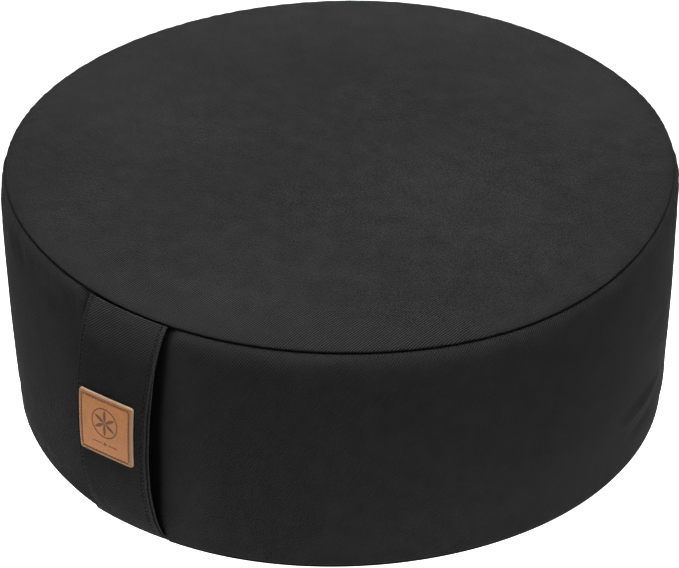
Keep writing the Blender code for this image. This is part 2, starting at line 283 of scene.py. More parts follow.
class CushionPatch(bpy.types.PropertyGroup):
    """Sizes of the leather patch."""

    side: FloatProperty(
        name="Side", description="Side of the square patch",
        default=PATCH_HIGH.x - PATCH_LOW.x, min=0.01, max=0.1, unit="LENGTH")
    thickness: FloatProperty(
        name="Thickness", description="Thickness of the leather",
        default=0.0021, min=0.0005, max=0.006, unit="LENGTH")
    corner: FloatProperty(
        name="Corner", description="Radius of the patch's corners",
        default=0.0018, min=0.0002, max=0.01, unit="LENGTH")
    height: FloatProperty(
        name="Height", description="Height of the patch's middle, before the seam's rise",
        default=0.0821, min=0.0, max=0.3, unit="LENGTH")
    across: FloatProperty(
        name="Across", description="Place of the patch's middle along X",
        default=-0.0034, min=-0.1, max=0.1, unit="LENGTH")
    stitch_inset: FloatProperty(
        name="Stitch inset", description="Distance of the running stitch from the patch's edge",
        default=0.0022, min=0.0005, max=0.01, unit="LENGTH")
    stitch_length: FloatProperty(
        name="Stitch length", description="Length of one running stitch",
        default=0.0020, min=0.0005, max=0.01, unit="LENGTH")
    stitch_pitch: FloatProperty(
        name="Stitch pitch", description="Distance from one running stitch to the next",
        default=0.0023, min=0.0005, max=0.01, unit="LENGTH")
    thread: FloatProperty(
        name="Thread", description="Thickness of the waxed thread",
        default=0.00065, min=0.0001, max=0.002, unit="LENGTH")
    press: FloatProperty(
        name="Press", description="Depth to which the ornament is pressed into the leather",
        default=0.00028, min=0.0, max=0.001, unit="LENGTH")


class CushionCloth(bpy.types.PropertyGroup):
    """Colours and weave of the twill."""

    dark: FloatVectorProperty(
        name="Dark yarn", description="Colour of the twill's hollows",
        subtype="COLOR", size=3, default=(0.0032, 0.0032, 0.0032), min=0.0, max=1.0)
    light: FloatVectorProperty(
        name="Light yarn", description="Colour of the twill's raised yarns",
        subtype="COLOR", size=3, default=(0.0225, 0.0225, 0.0225), min=0.0, max=1.0)
    # Painted shade: the near-black colour laid into the seams' grooves, onto the strap's back and
    # onto the wall behind the strap.
    painted_shade: FloatVectorProperty(
        name="Painted shade", description="Painted shade in the seams and behind the strap",
        subtype="COLOR", size=3, default=(0.0022, 0.0022, 0.0022), min=0.0, max=1.0)
    rib_pitch: FloatProperty(
        name="Rib pitch", description="Distance between the diagonal ribs of the twill",
        default=0.00132, min=0.0002, max=0.01, unit="LENGTH")
    yarn_pitch: FloatProperty(
        name="Yarn pitch", description="Distance between the yarns that cross a rib",
        default=0.00066, min=0.0001, max=0.01, unit="LENGTH")


class CushionLeather(bpy.types.PropertyGroup):
    """Colours of the leather patch."""

    face: FloatVectorProperty(
        name="Leather", description="Colour of the leather's face",
        subtype="COLOR", size=3, default=(0.276, 0.099, 0.0195), min=0.0, max=1.0)
    edge: FloatVectorProperty(
        name="Raw edge", description="Colour of the leather's cut edge",
        subtype="COLOR", size=3, default=(0.30, 0.205, 0.135), min=0.0, max=1.0)
    pressed: FloatVectorProperty(
        name="Pressed ornament", description="Colour of the ornament pressed into the leather",
        subtype="COLOR", size=3, default=(0.080, 0.026, 0.012), min=0.0, max=1.0)
    thread: FloatVectorProperty(
        name="Thread", description="Colour of the thread that sews the patch on",
        subtype="COLOR", size=3, default=(0.075, 0.020, 0.007), min=0.0, max=1.0)


class CushionStage(bpy.types.PropertyGroup):
    """Camera and light."""

    camera_place: FloatVectorProperty(
        name="Camera", description="Where the camera stands",
        subtype="XYZ", size=3, default=(1.28415, -1.70412, 1.43705), unit="LENGTH")
    camera_aim: FloatVectorProperty(
        name="Aim", description="What the camera looks at",
        subtype="XYZ", size=3, default=(0.00164, -0.00325, 0.07254), unit="LENGTH")
    camera_roll: FloatProperty(
        name="Roll", description="Turn of the camera about its line of sight",
        default=math.radians(-0.3103), min=-1.0, max=1.0, unit="ROTATION")
    lens: FloatProperty(
        name="Lens", description="Focal length in millimetres on a 36 mm sensor",
        default=224.0, min=20.0, max=400.0)
    top_light: FloatProperty(
        name="Top light", description="Power of the soft light over the cushion, in watts",
        default=135.0, min=0.0, max=2000.0)
    side_light: FloatProperty(
        name="Side lights", description="Power of each soft light beside the cushion, in watts",
        default=1.4, min=0.0, max=2000.0)
    room_light: FloatProperty(
        name="Room light", description="Strength of the even light of the room",
        default=0.03, min=0.0, max=5.0)
    floor_glow: FloatProperty(
        name="Floor glow",
        description="Strength of the light that comes up through the pale floor",
        default=0.22, min=0.0, max=5.0)
    screen_glow: FloatProperty(
        name="Screen glow", description="Brightness of the far floor and of the screen round it",
        default=0.90, min=0.0, max=5.0)
    rim_glow: FloatProperty(
        name="Glow by the cushion",
        description="Extra strength of the floor's light round the cushion",
        default=1.7, min=0.0, max=10.0)


def waves(table, azimuth):
    """Sum of the low waves in a table, at azimuths in degrees."""
    total = np.zeros_like(np.asarray(azimuth, float))
    for order, size, crest in table:
        total = total + size * np.cos(order * np.radians(azimuth - crest))
    return total


def turn_between(azimuth, start):
    """Signed angle from one azimuth to others, in degrees."""
    return (azimuth - start + 180.0) % 360.0 - 180.0


def seam_level(drum, azimuth):
    """Height of the top seam, which rises and falls round the soft drum."""
    return drum.seam_height + waves(SEAM_WAVES, azimuth)


def plan_scale(drum, azimuth):
    """Share by which the drum is out of round."""
    return 1.0 + waves(PLAN_WAVES, azimuth) / drum.wall_middle


def round_in(distance, length):
    """Share of a rounding's inset at a distance from its end, as on a quarter circle."""
    rest = np.clip(1.0 - distance / length, 0.0, 1.0)
    return 1.0 - np.sqrt(1.0 - rest * rest)


def fold_depth(drum, table, azimuth, height):
    """Depth of the soft troughs in a table at places on the band."""
    total = np.zeros_like(height)
    scale = math.radians(1.0) * drum.wall_middle
    for start_azimuth, start_height, end_azimuth, end_height, half_width, depth in table:
        across_x = turn_between(azimuth, start_azimuth) * scale
        across_z = height - start_height
        along = (end_azimuth - start_azimuth) * scale
        rise = end_height - start_height
        share = (across_x * along + across_z * rise) / (along * along + rise * rise)
        share = np.clip(share, 0.0, 1.0)
        distance = np.hypot(across_x - share * along, across_z - share * rise)
        near = np.clip(1.0 - (distance / half_width) ** 2, 0.0, 1.0)
        ends = 1.0 - 0.8 * (2.0 * share - 1.0) ** 2
        total = total + depth * near ** 2 * ends
    return total


def seat_depth(drum, azimuth, height):
    """Depth of the seats that the strap's sewn ends lie in."""
    offset = np.abs(turn_between(azimuth, SEAT_MIDDLE))
    side = np.clip((SEAT_HALF_ANGLE + SEAT_EDGE_ANGLE - offset) / SEAT_EDGE_ANGLE, 0.0, 1.0)
    upper = np.clip(1.0 - (seam_level(drum, azimuth) - height) / SEAT_LENGTH, 0.0, 1.0)
    lower = np.clip((BASE_SEAT_END - height) / (BASE_SEAT_END - BASE_SEAT_FULL), 0.0, 1.0)
    offset = np.abs(turn_between(azimuth, BASE_SEAT_MIDDLE))
    foot = BASE_SEAT_HALF_ANGLE + BASE_SEAT_EDGE_ANGLE - offset
    foot = np.clip(foot / BASE_SEAT_EDGE_ANGLE, 0.0, 1.0)
    return side * SEAT_DEPTH * upper + foot * BASE_SEAT_DEPTH * lower


def band_radius(drum, azimuth, height):
    """Radius of the side band, with its bulge, roundings, folds and seats."""
    full = seam_level(drum, azimuth)
    share = height / full
    radius = 2.0 * (share - 0.5) * (share - 1.0) * drum.wall_low
    radius = radius + 4.0 * share * (1.0 - share) * drum.wall_middle
    radius = radius + 2.0 * share * (share - 0.5) * drum.wall_top
    radius -= (drum.wall_top - drum.seam_radius) * round_in(full - height, drum.top_rounding)
    radius -= drum.base_rounding * round_in(height, drum.base_rounding)
    radius -= fold_depth(drum, FOLDS, azimuth, height)
    radius -= fold_depth(drum, FINE_FOLDS, azimuth, height)
    radius -= seat_depth(drum, azimuth, height)
    return radius * plan_scale(drum, azimuth)


def gathers(azimuth, shift):
    """Small uneven gathers round a seam, about from -1 to 1."""
    angle = np.radians(azimuth)
    patchy = 0.55 + 0.45 * np.sin(5.0 * angle + shift) * np.sin(3.0 * angle + 2.0 * shift)
    total = np.sin(113.0 * angle + 5.0 * np.sin(7.0 * angle + shift))
    total = total + 0.8 * np.sin(71.0 * angle + 4.0 * np.sin(5.0 * angle + 1.7 * shift))
    total = total + 0.6 * np.sin(187.0 * angle + 6.0 * np.sin(4.0 * angle + 0.6 * shift))
    return total * patchy / 1.8


def panel_level(drum, azimuth, inward):
    """Height of the top panel at a distance in from its edge."""
    share = 1.0 - inward / drum.edge_radius
    level = drum.seam_height + waves(SEAM_WAVES, azimuth) * share ** 2
    level = level + drum.crown * (1.0 - share ** 2.5)
    level = level + 0.0010 * (1.0 - np.exp(-inward / 0.006))
    turned = np.clip(1.0 - inward / 0.0016, 0.0, 1.0)
    return level + 0.0008 + 0.0006 * np.sqrt(1.0 - turned * turned)


def drum_rings(drum, azimuth):
    """Rings of the drum from the middle of the top panel to the middle of the base.

    Each ring is radius, height, how much painted shade darkens the seam there from 0 to 1, and the
    part's name.
    """
    rings = []
    inward = list(PANEL_RINGS)
    while inward[-1] < drum.edge_radius - PANEL_MIDDLE:
        inward.append(inward[-1] + PANEL_RING_STEP)
    scale = plan_scale(drum, azimuth)
    ones = np.ones_like(azimuth)
    for distance in reversed(inward):
        level = panel_level(drum, azimuth, np.full_like(azimuth, distance))
        fade = math.exp(-distance / 0.0045)
        level = level + drum.pucker * (gathers(azimuth, 0.4) - 0.5) * fade
        # Painted shade, strongest in the seam's groove and fading over a few millimetres of the
        # panel.
        painted_shade = 0.75 * math.exp(-(distance / 0.0003) ** 2) + 0.25 * math.exp(-distance / 0.0030)
        rings.append(((drum.edge_radius - distance) * scale, level, painted_shade * ones, "top"))
    seam = seam_level(drum, azimuth)
    floor_radius = (drum.edge_radius - drum.seam_pinch) * scale
    # The seam's own rings carry full painted shade in its groove.
    rings.append(((drum.edge_radius - 0.0001) * scale, seam + 0.0003, 0.8 * ones, "top"))
    rings.append((floor_radius, seam - 0.0001, ones, "top"))
    rings.append((floor_radius, seam - drum.seam_gap, ones, "band"))
    heights = [seam - drum.seam_gap - step for step in BAND_RINGS]
    for target, steps in BAND_SPANS:
        begin = heights[-1]
        for step in range(1, steps + 1):
            heights.append(begin + (target - begin) * step / steps)
    heights += [np.full_like(azimuth, value) for value in FOOT_RINGS]
    for height in heights:
        down = seam - drum.seam_gap - height
        radius = band_radius(drum, azimuth, height)
        turned = np.clip(1.0 - down / drum.lip, 0.0, 1.0)
        radius = radius - drum.seam_pinch * 0.9 * (1.0 - np.sqrt(1.0 - turned * turned))
        radius = radius + drum.pucker * gathers(azimuth, 1.9) * np.exp(-down / 0.0080)
        radius = radius + drum.pucker * gathers(azimuth, 3.1) * np.exp(-height / 0.0090)
        # Painted shade just under the seam's groove.
        rings.append((radius, height, np.exp(-(down / 0.0003) ** 2), "band"))
    # The bottom seam's pinch also sets how much painted shade its groove gets.
    for value, pinch in BASE_SEAM_RINGS:
        height = np.full_like(azimuth, value)
        radius = band_radius(drum, azimuth, height) - pinch * drum.seam_pinch * 0.5
        part = "band" if value > BASE_SEAM_HEIGHT else "base"
        rings.append((radius, height, pinch * ones, part))
    edge = rings[-1][0]
    for share in BASE_SHARES:
        rings.append((edge * share, np.zeros_like(azimuth), 0.0 * ones, "base"))
    return rings


def drum_mesh(drum, name, columns):
    """The whole drum as one closed mesh, with a cloth map in metres."""
    azimuth = -180.0 + 360.0 * np.arange(columns) / columns
    rings = drum_rings(drum, azimuth)
    places, marks, painted_shades = [], [], []
    for radius, height, painted_shade, part in rings:
        angle = np.radians(azimuth)
        places.append(np.stack([radius * np.cos(angle), radius * np.sin(angle), height], 1))
        marks.append(part)
        painted_shades.append(painted_shade)
    count = len(rings)
    flat = np.concatenate(places)
    top_middle = places[0].mean(0)
    base_middle = np.array([0.0, 0.0, 0.0])
    points = np.concatenate([flat, [top_middle], [base_middle]])
    faces, maps = [], []
    top_index, base_index = len(flat), len(flat) + 1
    cosine, sine = math.cos(PANEL_CLOTH_TURN), math.sin(PANEL_CLOTH_TURN)

    extra = np.zeros(count)
    for ring in range(1, count):
        out = float(np.mean(rings[ring][0] - rings[ring - 1][0]))
        down = float(np.mean(rings[ring - 1][1] - rings[ring][1]))
        extra[ring] = extra[ring - 1] - (math.hypot(out, down) - abs(down))

    def panel_map(place):
        return place[0] * cosine - place[1] * sine, place[0] * sine + place[1] * cosine

    def map_place(ring, column):
        place = points[ring * columns + column % columns]
        if marks[ring] == "band":
            turn = math.radians(-180.0 + 360.0 * column / columns)
            return turn * drum.wall_middle, place[2] + extra[ring]
        return panel_map(place)

    for column in range(columns):
        following = (column + 1) % columns
        faces.append((top_index, column, following))
        maps += [panel_map(points[top_index]), map_place(0, column), map_place(0, column + 1)]
    for ring in range(count - 1):
        part = marks[ring + 1]
        for column in range(columns):
            following = (column + 1) % columns
            faces.append((ring * columns + column, (ring + 1) * columns + column,
                          (ring + 1) * columns + following, ring * columns + following))
            corners = ((ring, column), (ring + 1, column), (ring + 1, column + 1),
                       (ring, column + 1))
            for corner_ring, corner_column in corners:
                if part == "band" and marks[corner_ring] != "band":
                    turn = math.radians(-180.0 + 360.0 * corner_column / columns)
                    place = points[corner_ring * columns + corner_column % columns]
                    maps.append((turn * drum.wall_middle, place[2] + extra[ring + 1]))
                elif part != "band" and marks[corner_ring] == "band":
                    maps.append(panel_map(points[corner_ring * columns + corner_column % columns]))
                else:
                    maps.append(map_place(corner_ring, corner_column))
    last = (count - 1) * columns
    for column in range(columns):
        following = (column + 1) % columns
        faces.append((base_index, last + following, last + column))
        maps += [(0.0, 0.0), map_place(count - 1, column + 1), map_place(count - 1, column)]
    # The seams' painted shade goes onto the mesh as a mark.
    return cloth_mesh(name, points, faces, maps,
                      {"painted_shade": np.concatenate(painted_shades + [[0.0, 0.0]])})


def cloth_mesh(name, points, faces, maps, marks):
    """A mesh with a cloth map in metres and with marks, which hold one number a point."""
    mesh = bpy.data.meshes.new(name)
    mesh.from_pydata([tuple(place) for place in points], [], faces)
    layer = mesh.uv_layers.new(name="cloth")
    layer.data.foreach_set("uv", np.array(maps, np.float32).ravel())
    for mark, values in marks.items():
        mark_points(mesh, mark, values)
    mesh.update()
    return mesh


def add_object(name, data):
    """A new object at the origin, linked to the scene."""
    made = bpy.data.objects.new(name, data)
    bpy.context.scene.collection.objects.link(made)
    return made


def evaluated_mesh(thing):
    """A plain mesh of an object as its modifiers leave it."""
    graph = bpy.context.evaluated_depsgraph_get()
    return bpy.data.meshes.new_from_object(thing.evaluated_get(graph))


def read_places(mesh):
    """A mesh's points as an array."""
    places = np.zeros(len(mesh.vertices) * 3)
    mesh.vertices.foreach_get("co", places)
    return places.reshape(-1, 3)


def read_normals(mesh):
    """A mesh's point normals as an array."""
    normals = np.zeros(len(mesh.vertices) * 3)
    mesh.vertices.foreach_get("normal", normals)
    return normals.reshape(-1, 3)


def write_places(mesh, places):
    """Put an array of points back into a mesh."""
    mesh.vertices.foreach_set("co", places.ravel())
    mesh.update()


def round_places(places):
    """Azimuths in degrees and radii of points round the drum's axis."""
    azimuth = np.degrees(np.arctan2(places[:, 1], places[:, 0]))
    return azimuth, np.hypot(places[:, 0], places[:, 1])


def on_top_panel(drum, places):
    """Which points lie on the top panel, for the soft moves of the cloth."""
    return (places[:, 2] > PANEL_ABOVE) & (round_places(places)[1] < drum.edge_radius)


def seam_distance(drum, places):
    """Distance of points from the nearest sewn line of the drum, roughly, in metres."""
    azimuth, radius = round_places(places)
    upper = np.hypot(places[:, 2] - seam_level(drum, azimuth),
                     radius - drum.seam_radius * plan_scale(drum, azimuth))
    inside = np.minimum(radius - BASE_SEAM_RADIUS, 0.0)
    lower = np.hypot(places[:, 2] - BASE_SEAM_HEIGHT, inside)
    lower = np.where(places[:, 2] < BASE_SEAM_HEIGHT, 0.0, lower)
    return np.minimum(upper, lower)


def slack_field(drum):
    """Simulate the filled cloth on a coarse copy and return its places and outward moves."""
    thing = add_object("slack_coarse", drum_mesh(drum, "slack_coarse", SLACK_COLUMNS))
    remesh = thing.modifiers.new("even", "REMESH")
    remesh.mode = "VOXEL"
    remesh.voxel_size = SLACK_VOXEL
    bpy.context.view_layer.update()
    even = evaluated_mesh(thing)
    thing.modifiers.clear()
    thing.data = even
    start = read_places(even)
    normals = read_normals(even)
    for index in range(len(start)):
        place = Vector(start[index] * 23.0)
        start[index] += normals[index] * SLACK_START * noise.noise(place)
    write_places(even, start)
    held = thing.vertex_groups.new(name="sewn")
    for index in np.nonzero(seam_distance(drum, start) < SLACK_SEWN)[0]:
        held.add([int(index)], 1.0, "REPLACE")
    cloth = thing.modifiers.new("cloth", "CLOTH")
    for name, value in SLACK_CLOTH.items():
        setattr(cloth.settings, name, value)
    cloth.settings.effector_weights.gravity = 0.0
    cloth.collision_settings.use_self_collision = False
    cloth.point_cache.frame_start = 1
    cloth.point_cache.frame_end = 24
    for moment in range(1, SLACK_FRAMES + 1):
        bpy.context.scene.frame_set(moment)
    swollen = evaluated_mesh(thing)
    moved = ((read_places(swollen) - start) * normals).sum(1)
    bpy.context.scene.frame_set(1)
    bpy.data.objects.remove(thing, do_unlink=True)
    bpy.data.meshes.remove(swollen)
    return start, moved


def even_out(drum, places, moved):
    """Take the mean swelling at each height and radius out of the moves, so the outline stays."""
    azimuth, radius = round_places(places)
    level = places[:, 2] / seam_level(drum, azimuth)
    on_top = (places[:, 2] > seam_level(drum, azimuth) - 0.001) & (radius < drum.edge_radius)
    key = np.where(on_top, 100 + np.floor(radius / 0.010), np.floor(level * 24))
    result = moved.copy()
    for value in np.unique(key):
        chosen = key == value
        result[chosen] -= moved[chosen].mean()
    return result


def lay_slack(drum, mesh):
    """Carry the simulated slackness over to the fine mesh, capped, and none at the seams."""
    source, moved = slack_field(drum)
    moved = even_out(drum, source, moved)
    spread = float(np.sqrt((moved ** 2).mean())) or 1.0
    moved = np.clip(moved * SLACK_SPREAD / spread, -drum.slack, drum.slack)
    tree = kdtree.KDTree(len(source))
    for index, place in enumerate(source):
        tree.insert(Vector(place), index)
    tree.balance()
    places, normals = read_places(mesh), read_normals(mesh)
    fade = np.clip(seam_distance(drum, places) / 0.006, 0.0, 1.0)
    azimuth = round_places(places)[0]
    fade = fade * np.where(places[:, 2] < 0.001, 0.0, 1.0)
    fade = fade * np.where(on_top_panel(drum, places), 0.30, 0.70)
    behind = np.abs(turn_between(azimuth, SEAT_MIDDLE)) < SEAT_HALF_ANGLE + SEAT_EDGE_ANGLE
    fade = np.where(behind & (places[:, 2] < 0.150), fade * 0.4, fade)
    shift = np.zeros(len(places))
    for index in np.nonzero(fade > 0.0)[0]:
        found = tree.find_n(Vector(places[index]), 5)
        weights = [1.0 / (distance * distance + 4e-6) for _, _, distance in found]
        total = sum(w * moved[item] for w, (_, item, _) in zip(weights, found))
        shift[index] = total / sum(weights)
    write_places(mesh, places + normals * (shift * fade)[:, None])


def lay_lumps(drum, mesh):
    """Broad soft unevenness of the filling under the cloth."""
    places, normals = read_places(mesh), read_normals(mesh)
    fade = np.clip(seam_distance(drum, places) / 0.020, 0.0, 1.0)
    shift = np.zeros(len(places))
    for index in np.nonzero(fade > 0.0)[0]:
        place = Vector(places[index])
        shift[index] = sum(size * noise.noise(place * scale + Vector(offset))
                           for scale, offset, size in LUMPS)
    shift = np.where(on_top_panel(drum, places), 0.6 * shift, shift)
    shift = np.where(places[:, 2] < 0.0005, 0.0, shift)
    write_places(mesh, places + normals * (shift * fade)[:, None])


def mark_points(mesh, name, values):
    """Store one number a point on a mesh."""
    attribute = mesh.attributes.new(name, "FLOAT", "POINT")
    attribute.data.foreach_set("value", np.asarray(values, np.float32))


def paint_shade_behind_strap(mesh, places):
    """Paint shade on the wall behind the strap, softly out to the strap's edges."""
    # Painted shade: near black right behind the strap, easing out a little past its edges.
    half = strap_value(3, places[:, 2]) / 2.0
    across = np.abs(places[:, 0] - strap_value(2, places[:, 2])) / half
    reach = 1.11 + 0.11 * np.clip((places[:, 2] - 0.09) / 0.05, 0.0, 1.0)
    reach = reach - 0.08 * np.clip((0.06 - places[:, 2]) / 0.05, 0.0, 1.0)
    shade_share = np.clip((reach - across) / 0.17, 0.0, 1.0)
    shade_share = shade_share * shade_share * (3.0 - 2.0 * shade_share)
    shade_share = np.where((places[:, 1] < 0.0) & (places[:, 2] < 0.1535), shade_share, 0.0)
    attribute = mesh.attributes["painted_shade"]
    values = np.zeros(len(places), np.float32)
    attribute.data.foreach_get("value", values)
    attribute.data.foreach_set("value", np.maximum(values, shade_share).astype(np.float32))


def mark_wear_and_painted_light(drum, mesh, places):
    """Mark painted highlights under the top seam, beside the strap and at the top panel's back,
    and where rubbing has raised the ribs' contrast.
    """
    azimuth, radius = round_places(places)
    down = seam_level(drum, azimuth) - places[:, 2]
    # Painted highlight along the band's rounded lip under the top seam, strongest toward the front
    # left.
    patchy = 0.22 + 1.10 * np.clip(np.cos(np.radians(azimuth + 82.0)), 0.0, 1.0) ** 2
    wear_and_painted_light = np.where(down > 0.0008, patchy * np.exp(-(down / 0.0088) ** 2), 0.0)
    # Painted highlight on the wall beside the strap's edges.
    beside = 0.35 * np.exp(-(turn_between(azimuth, -80.0) / 5.0) ** 2)
    beside = beside + 0.30 * np.exp(-(turn_between(azimuth, -108.0) / 9.0) ** 2)
    wear_and_painted_light = np.where(down > 0.0008, np.maximum(wear_and_painted_light, beside), wear_and_painted_light)
    inward = np.clip(drum.edge_radius - radius, 0.0, 1.0)
    # Painted sheen: the top panel is lightened near its back edge.
    behind = np.clip(np.cos(np.radians(azimuth - 138.0)), 0.0, 1.0) ** 2
    behind = 0.26 * behind * np.exp(-(inward / 0.060) ** 2)
    wear_and_painted_light = np.where((down < 0.0008) & (places[:, 2] > 0.14), behind, wear_and_painted_light)
    mark_points(mesh, "wear_and_painted_light", wear_and_painted_light)
    front = np.clip((-26.0 - azimuth) / 9.0, 0.0, 1.0)
    front = front * np.clip((azimuth + 128.0) / 25.0, 0.0, 1.0)
    on_panel = (down < 0.0008) & (places[:, 2] > 0.14)
    raised = np.where(on_panel, 1.35 * front * np.exp(-(inward / 0.032) ** 2) - 0.30, -0.15)
    under = (down > 0.0008) & (down < 0.04)
    raised = np.where(under, 0.9 * patchy * np.exp(-(down / 0.012) ** 2) - 0.15, raised)
    mark_points(mesh, "raised", raised)


def place_piece(name, mesh, material):
    """Link a mesh as a piece at the origin, smooth shaded, with its material."""
    mesh.materials.clear()
    mesh.materials.append(material)
    mesh.shade_smooth()
    return add_object(name, mesh)


def add_node(tree, kind, x, y, **settings):
    """Add a node at a place in a tree, with its settings."""
    made = tree.nodes.new(kind)
    made.location = (x, y)
    for key, value in settings.items():
        setattr(made, key, value)
    return made


def set_inputs(node, values):
    """Give a node's inputs their fixed values, by name."""
    for name, value in values.items():
        node.inputs[name].default_value = value


def add_bump(tree, shader, height, x, y, strength, distance):
    """Let a height socket shape a shader's normal."""
    bump = add_node(tree, "ShaderNodeBump", x, y)
    set_inputs(bump, {"Strength": strength, "Distance": distance})
    tree.links.new(height, bump.inputs["Height"])
    tree.links.new(bump.outputs[0], shader.inputs["Normal"])


def add_math(tree, operation, x, y, first, second=None, third=None):
    """Add a math node. Each value is a number or a socket to link from."""
    made = add_node(tree, "ShaderNodeMath", x, y, operation=operation)
    for socket, value in zip(made.inputs, (first, second, third)):
        if value is None:
            continue
        if isinstance(value, (int, float)):
            socket.default_value = value
        else:
            tree.links.new(value, socket)
    return made.outputs[0]


def shader_group(name, inputs, outputs):
    """An empty shader node group with named sockets, and its two end nodes."""
    tree = bpy.data.node_groups.new(name, "ShaderNodeTree")
    for label, kind, default in inputs:
        socket = tree.interface.new_socket(label, in_out="INPUT", socket_type=kind)
        if default is not None:
            socket.default_value = default
    for label, kind in outputs:
        tree.interface.new_socket(label, in_out="OUTPUT", socket_type=kind)
    start = add_node(tree, "NodeGroupInput", -1200, 0)
    return tree, start, add_node(tree, "NodeGroupOutput", 900, 0)


def twill_group():
    """Diagonal ribs crossed by yarns, with a slight wander, by place on the cloth in metres."""
    found = bpy.data.node_groups.get("twill weave")
    if found:
        return found
    tree, start, end = shader_group(
        "twill weave",
        [("Place", "NodeSocketVector", None), ("Rib Pitch", "NodeSocketFloat", 0.00125),
         ("Yarn Pitch", "NodeSocketFloat", 0.0006), ("Lean", "NodeSocketFloat", 0.9)],
        [("Height", "NodeSocketFloat"), ("Shade", "NodeSocketFloat")])
    turned = add_node(tree, "ShaderNodeVectorRotate", -1000, 0, rotation_type="Z_AXIS")
    tree.links.new(start.outputs["Place"], turned.inputs["Vector"])
    tree.links.new(start.outputs["Lean"], turned.inputs["Angle"])
    split = add_node(tree, "ShaderNodeSeparateXYZ", -820, 0)
    tree.links.new(turned.outputs[0], split.inputs[0])
    wander = add_node(tree, "ShaderNodeTexNoise", -820, -220)
    set_inputs(wander, {"Scale": 260.0, "Detail": 2.0})
    tree.links.new(start.outputs["Place"], wander.inputs["Vector"])
    off = add_math(tree, "MULTIPLY_ADD", -640, -220, wander.outputs["Fac"], 3.2, -1.6)
    rib = add_math(tree, "DIVIDE", -640, 60, split.outputs["X"], start.outputs["Rib Pitch"])
    rib = add_math(tree, "MULTIPLY_ADD", -480, 60, rib, 2.0 * math.pi, off)
    rib = add_math(tree, "SINE", -320, 60, rib)
    yarn = add_math(tree, "DIVIDE", -640, -60, split.outputs["Y"], start.outputs["Yarn Pitch"])
    yarn = add_math(tree, "MULTIPLY_ADD", -480, -60, yarn, 2.0 * math.pi, off)
    yarn = add_math(tree, "SINE", -320, -60, yarn)
    ribbed = add_math(tree, "MULTIPLY_ADD", -140, 60, rib, 0.5, 0.5)
    crossed = add_math(tree, "MULTIPLY_ADD", -140, -60, yarn, 0.22, 0.78)
    height = add_math(tree, "MULTIPLY", 40, 0, ribbed, crossed)
    slub = add_node(tree, "ShaderNodeTexNoise", -320, -340)
    set_inputs(slub, {"Scale": 700.0, "Detail": 3.0, "Roughness": 0.7})
    tree.links.new(start.outputs["Place"], slub.inputs["Vector"])
    speck = add_math(tree, "MULTIPLY_ADD", 40, -200, slub.outputs["Fac"], 2.0, -0.55)
    shade = add_math(tree, "MULTIPLY_ADD", 220, -100, height, 0.62, 0.0)
    shade = add_math(tree, "MULTIPLY_ADD", 400, -100, speck, 0.38, shade)
    tree.links.new(height, end.inputs["Height"])
    tree.links.new(shade, end.inputs["Shade"])
    return tree


def tone_group():
    """Broad soft patches of tone and finer mottling, as a number about one half."""
    found = bpy.data.node_groups.get("soft tone")
    if found:
        return found
    tree, start, end = shader_group(
        "soft tone",
        [("Place", "NodeSocketVector", None), ("Broad Scale", "NodeSocketFloat", 9.0),
         ("Fine Scale", "NodeSocketFloat", 70.0), ("Contrast", "NodeSocketFloat", 1.0)],
        [("Tone", "NodeSocketFloat")])
    parts = []
    for label, y in (("Broad Scale", 120), ("Fine Scale", -120)):
        patches = add_node(tree, "ShaderNodeTexNoise", -800, y)
        patches.inputs["Detail"].default_value = 3.0
        tree.links.new(start.outputs["Place"], patches.inputs["Vector"])
        tree.links.new(start.outputs[label], patches.inputs["Scale"])
        parts.append(patches.outputs["Fac"])
    both = add_math(tree, "ADD", -560, 0, parts[0], parts[1])
    both = add_math(tree, "SUBTRACT", -400, 0, both, 1.0)
    both = add_math(tree, "MULTIPLY_ADD", -240, 0, both, start.outputs["Contrast"], 0.5)
    tree.links.new(both, end.inputs["Tone"])
    return tree


def grain_group():
    """Fine leather grain: shallow cells with pores, as a height and a tone."""
    found = bpy.data.node_groups.get("leather grain")
    if found:
        return found
    tree, start, end = shader_group(
        "leather grain",
        [("Place", "NodeSocketVector", None), ("Cell Scale", "NodeSocketFloat", 1500.0)],
        [("Height", "NodeSocketFloat"), ("Pores", "NodeSocketFloat")])
    cells = add_node(tree, "ShaderNodeTexVoronoi", -700, 100, feature="DISTANCE_TO_EDGE")
    tree.links.new(start.outputs["Place"], cells.inputs["Vector"])
    tree.links.new(start.outputs["Cell Scale"], cells.inputs["Scale"])
    soft = add_math(tree, "MINIMUM", -500, 100, cells.outputs["Distance"], 0.22)
    pores = add_node(tree, "ShaderNodeTexNoise", -700, -150)
    set_inputs(pores, {"Scale": 2600.0, "Detail": 2.0})
    tree.links.new(start.outputs["Place"], pores.inputs["Vector"])
    mixed = add_math(tree, "MULTIPLY_ADD", -300, 0, soft, 2.2, 0.0)
    mixed = add_math(tree, "MULTIPLY_ADD", -120, 0, pores.outputs["Fac"], 0.6, mixed)
    tree.links.new(mixed, end.inputs["Height"])
    tree.links.new(pores.outputs["Fac"], end.inputs["Pores"])
    return tree


def principled(name):
    """A new material, its tree and its Principled shader."""
    material = bpy.data.materials.new(name)
    material.use_nodes = True
    tree = material.node_tree
    shader = next(item for item in tree.nodes if item.type == "BSDF_PRINCIPLED")
    shader.location = (500, 0)
    return material, tree, shader


def ramp_between(tree, x, y, factor, low, high):
    """Mix two colours by a factor socket and return the colour socket."""
    mix = add_node(tree, "ShaderNodeMix", x, y, data_type="RGBA")
    tree.links.new(factor, mix.inputs["Factor"])
    for label, colour in (("A", low), ("B", high)):
        socket = [item for item in mix.inputs if item.name == label and item.type == "RGBA"][0]
        if hasattr(colour, "default_value"):
            tree.links.new(colour, socket)
        else:
            socket.default_value = (*colour, 1.0)
    return [item for item in mix.outputs if item.type == "RGBA"][0]


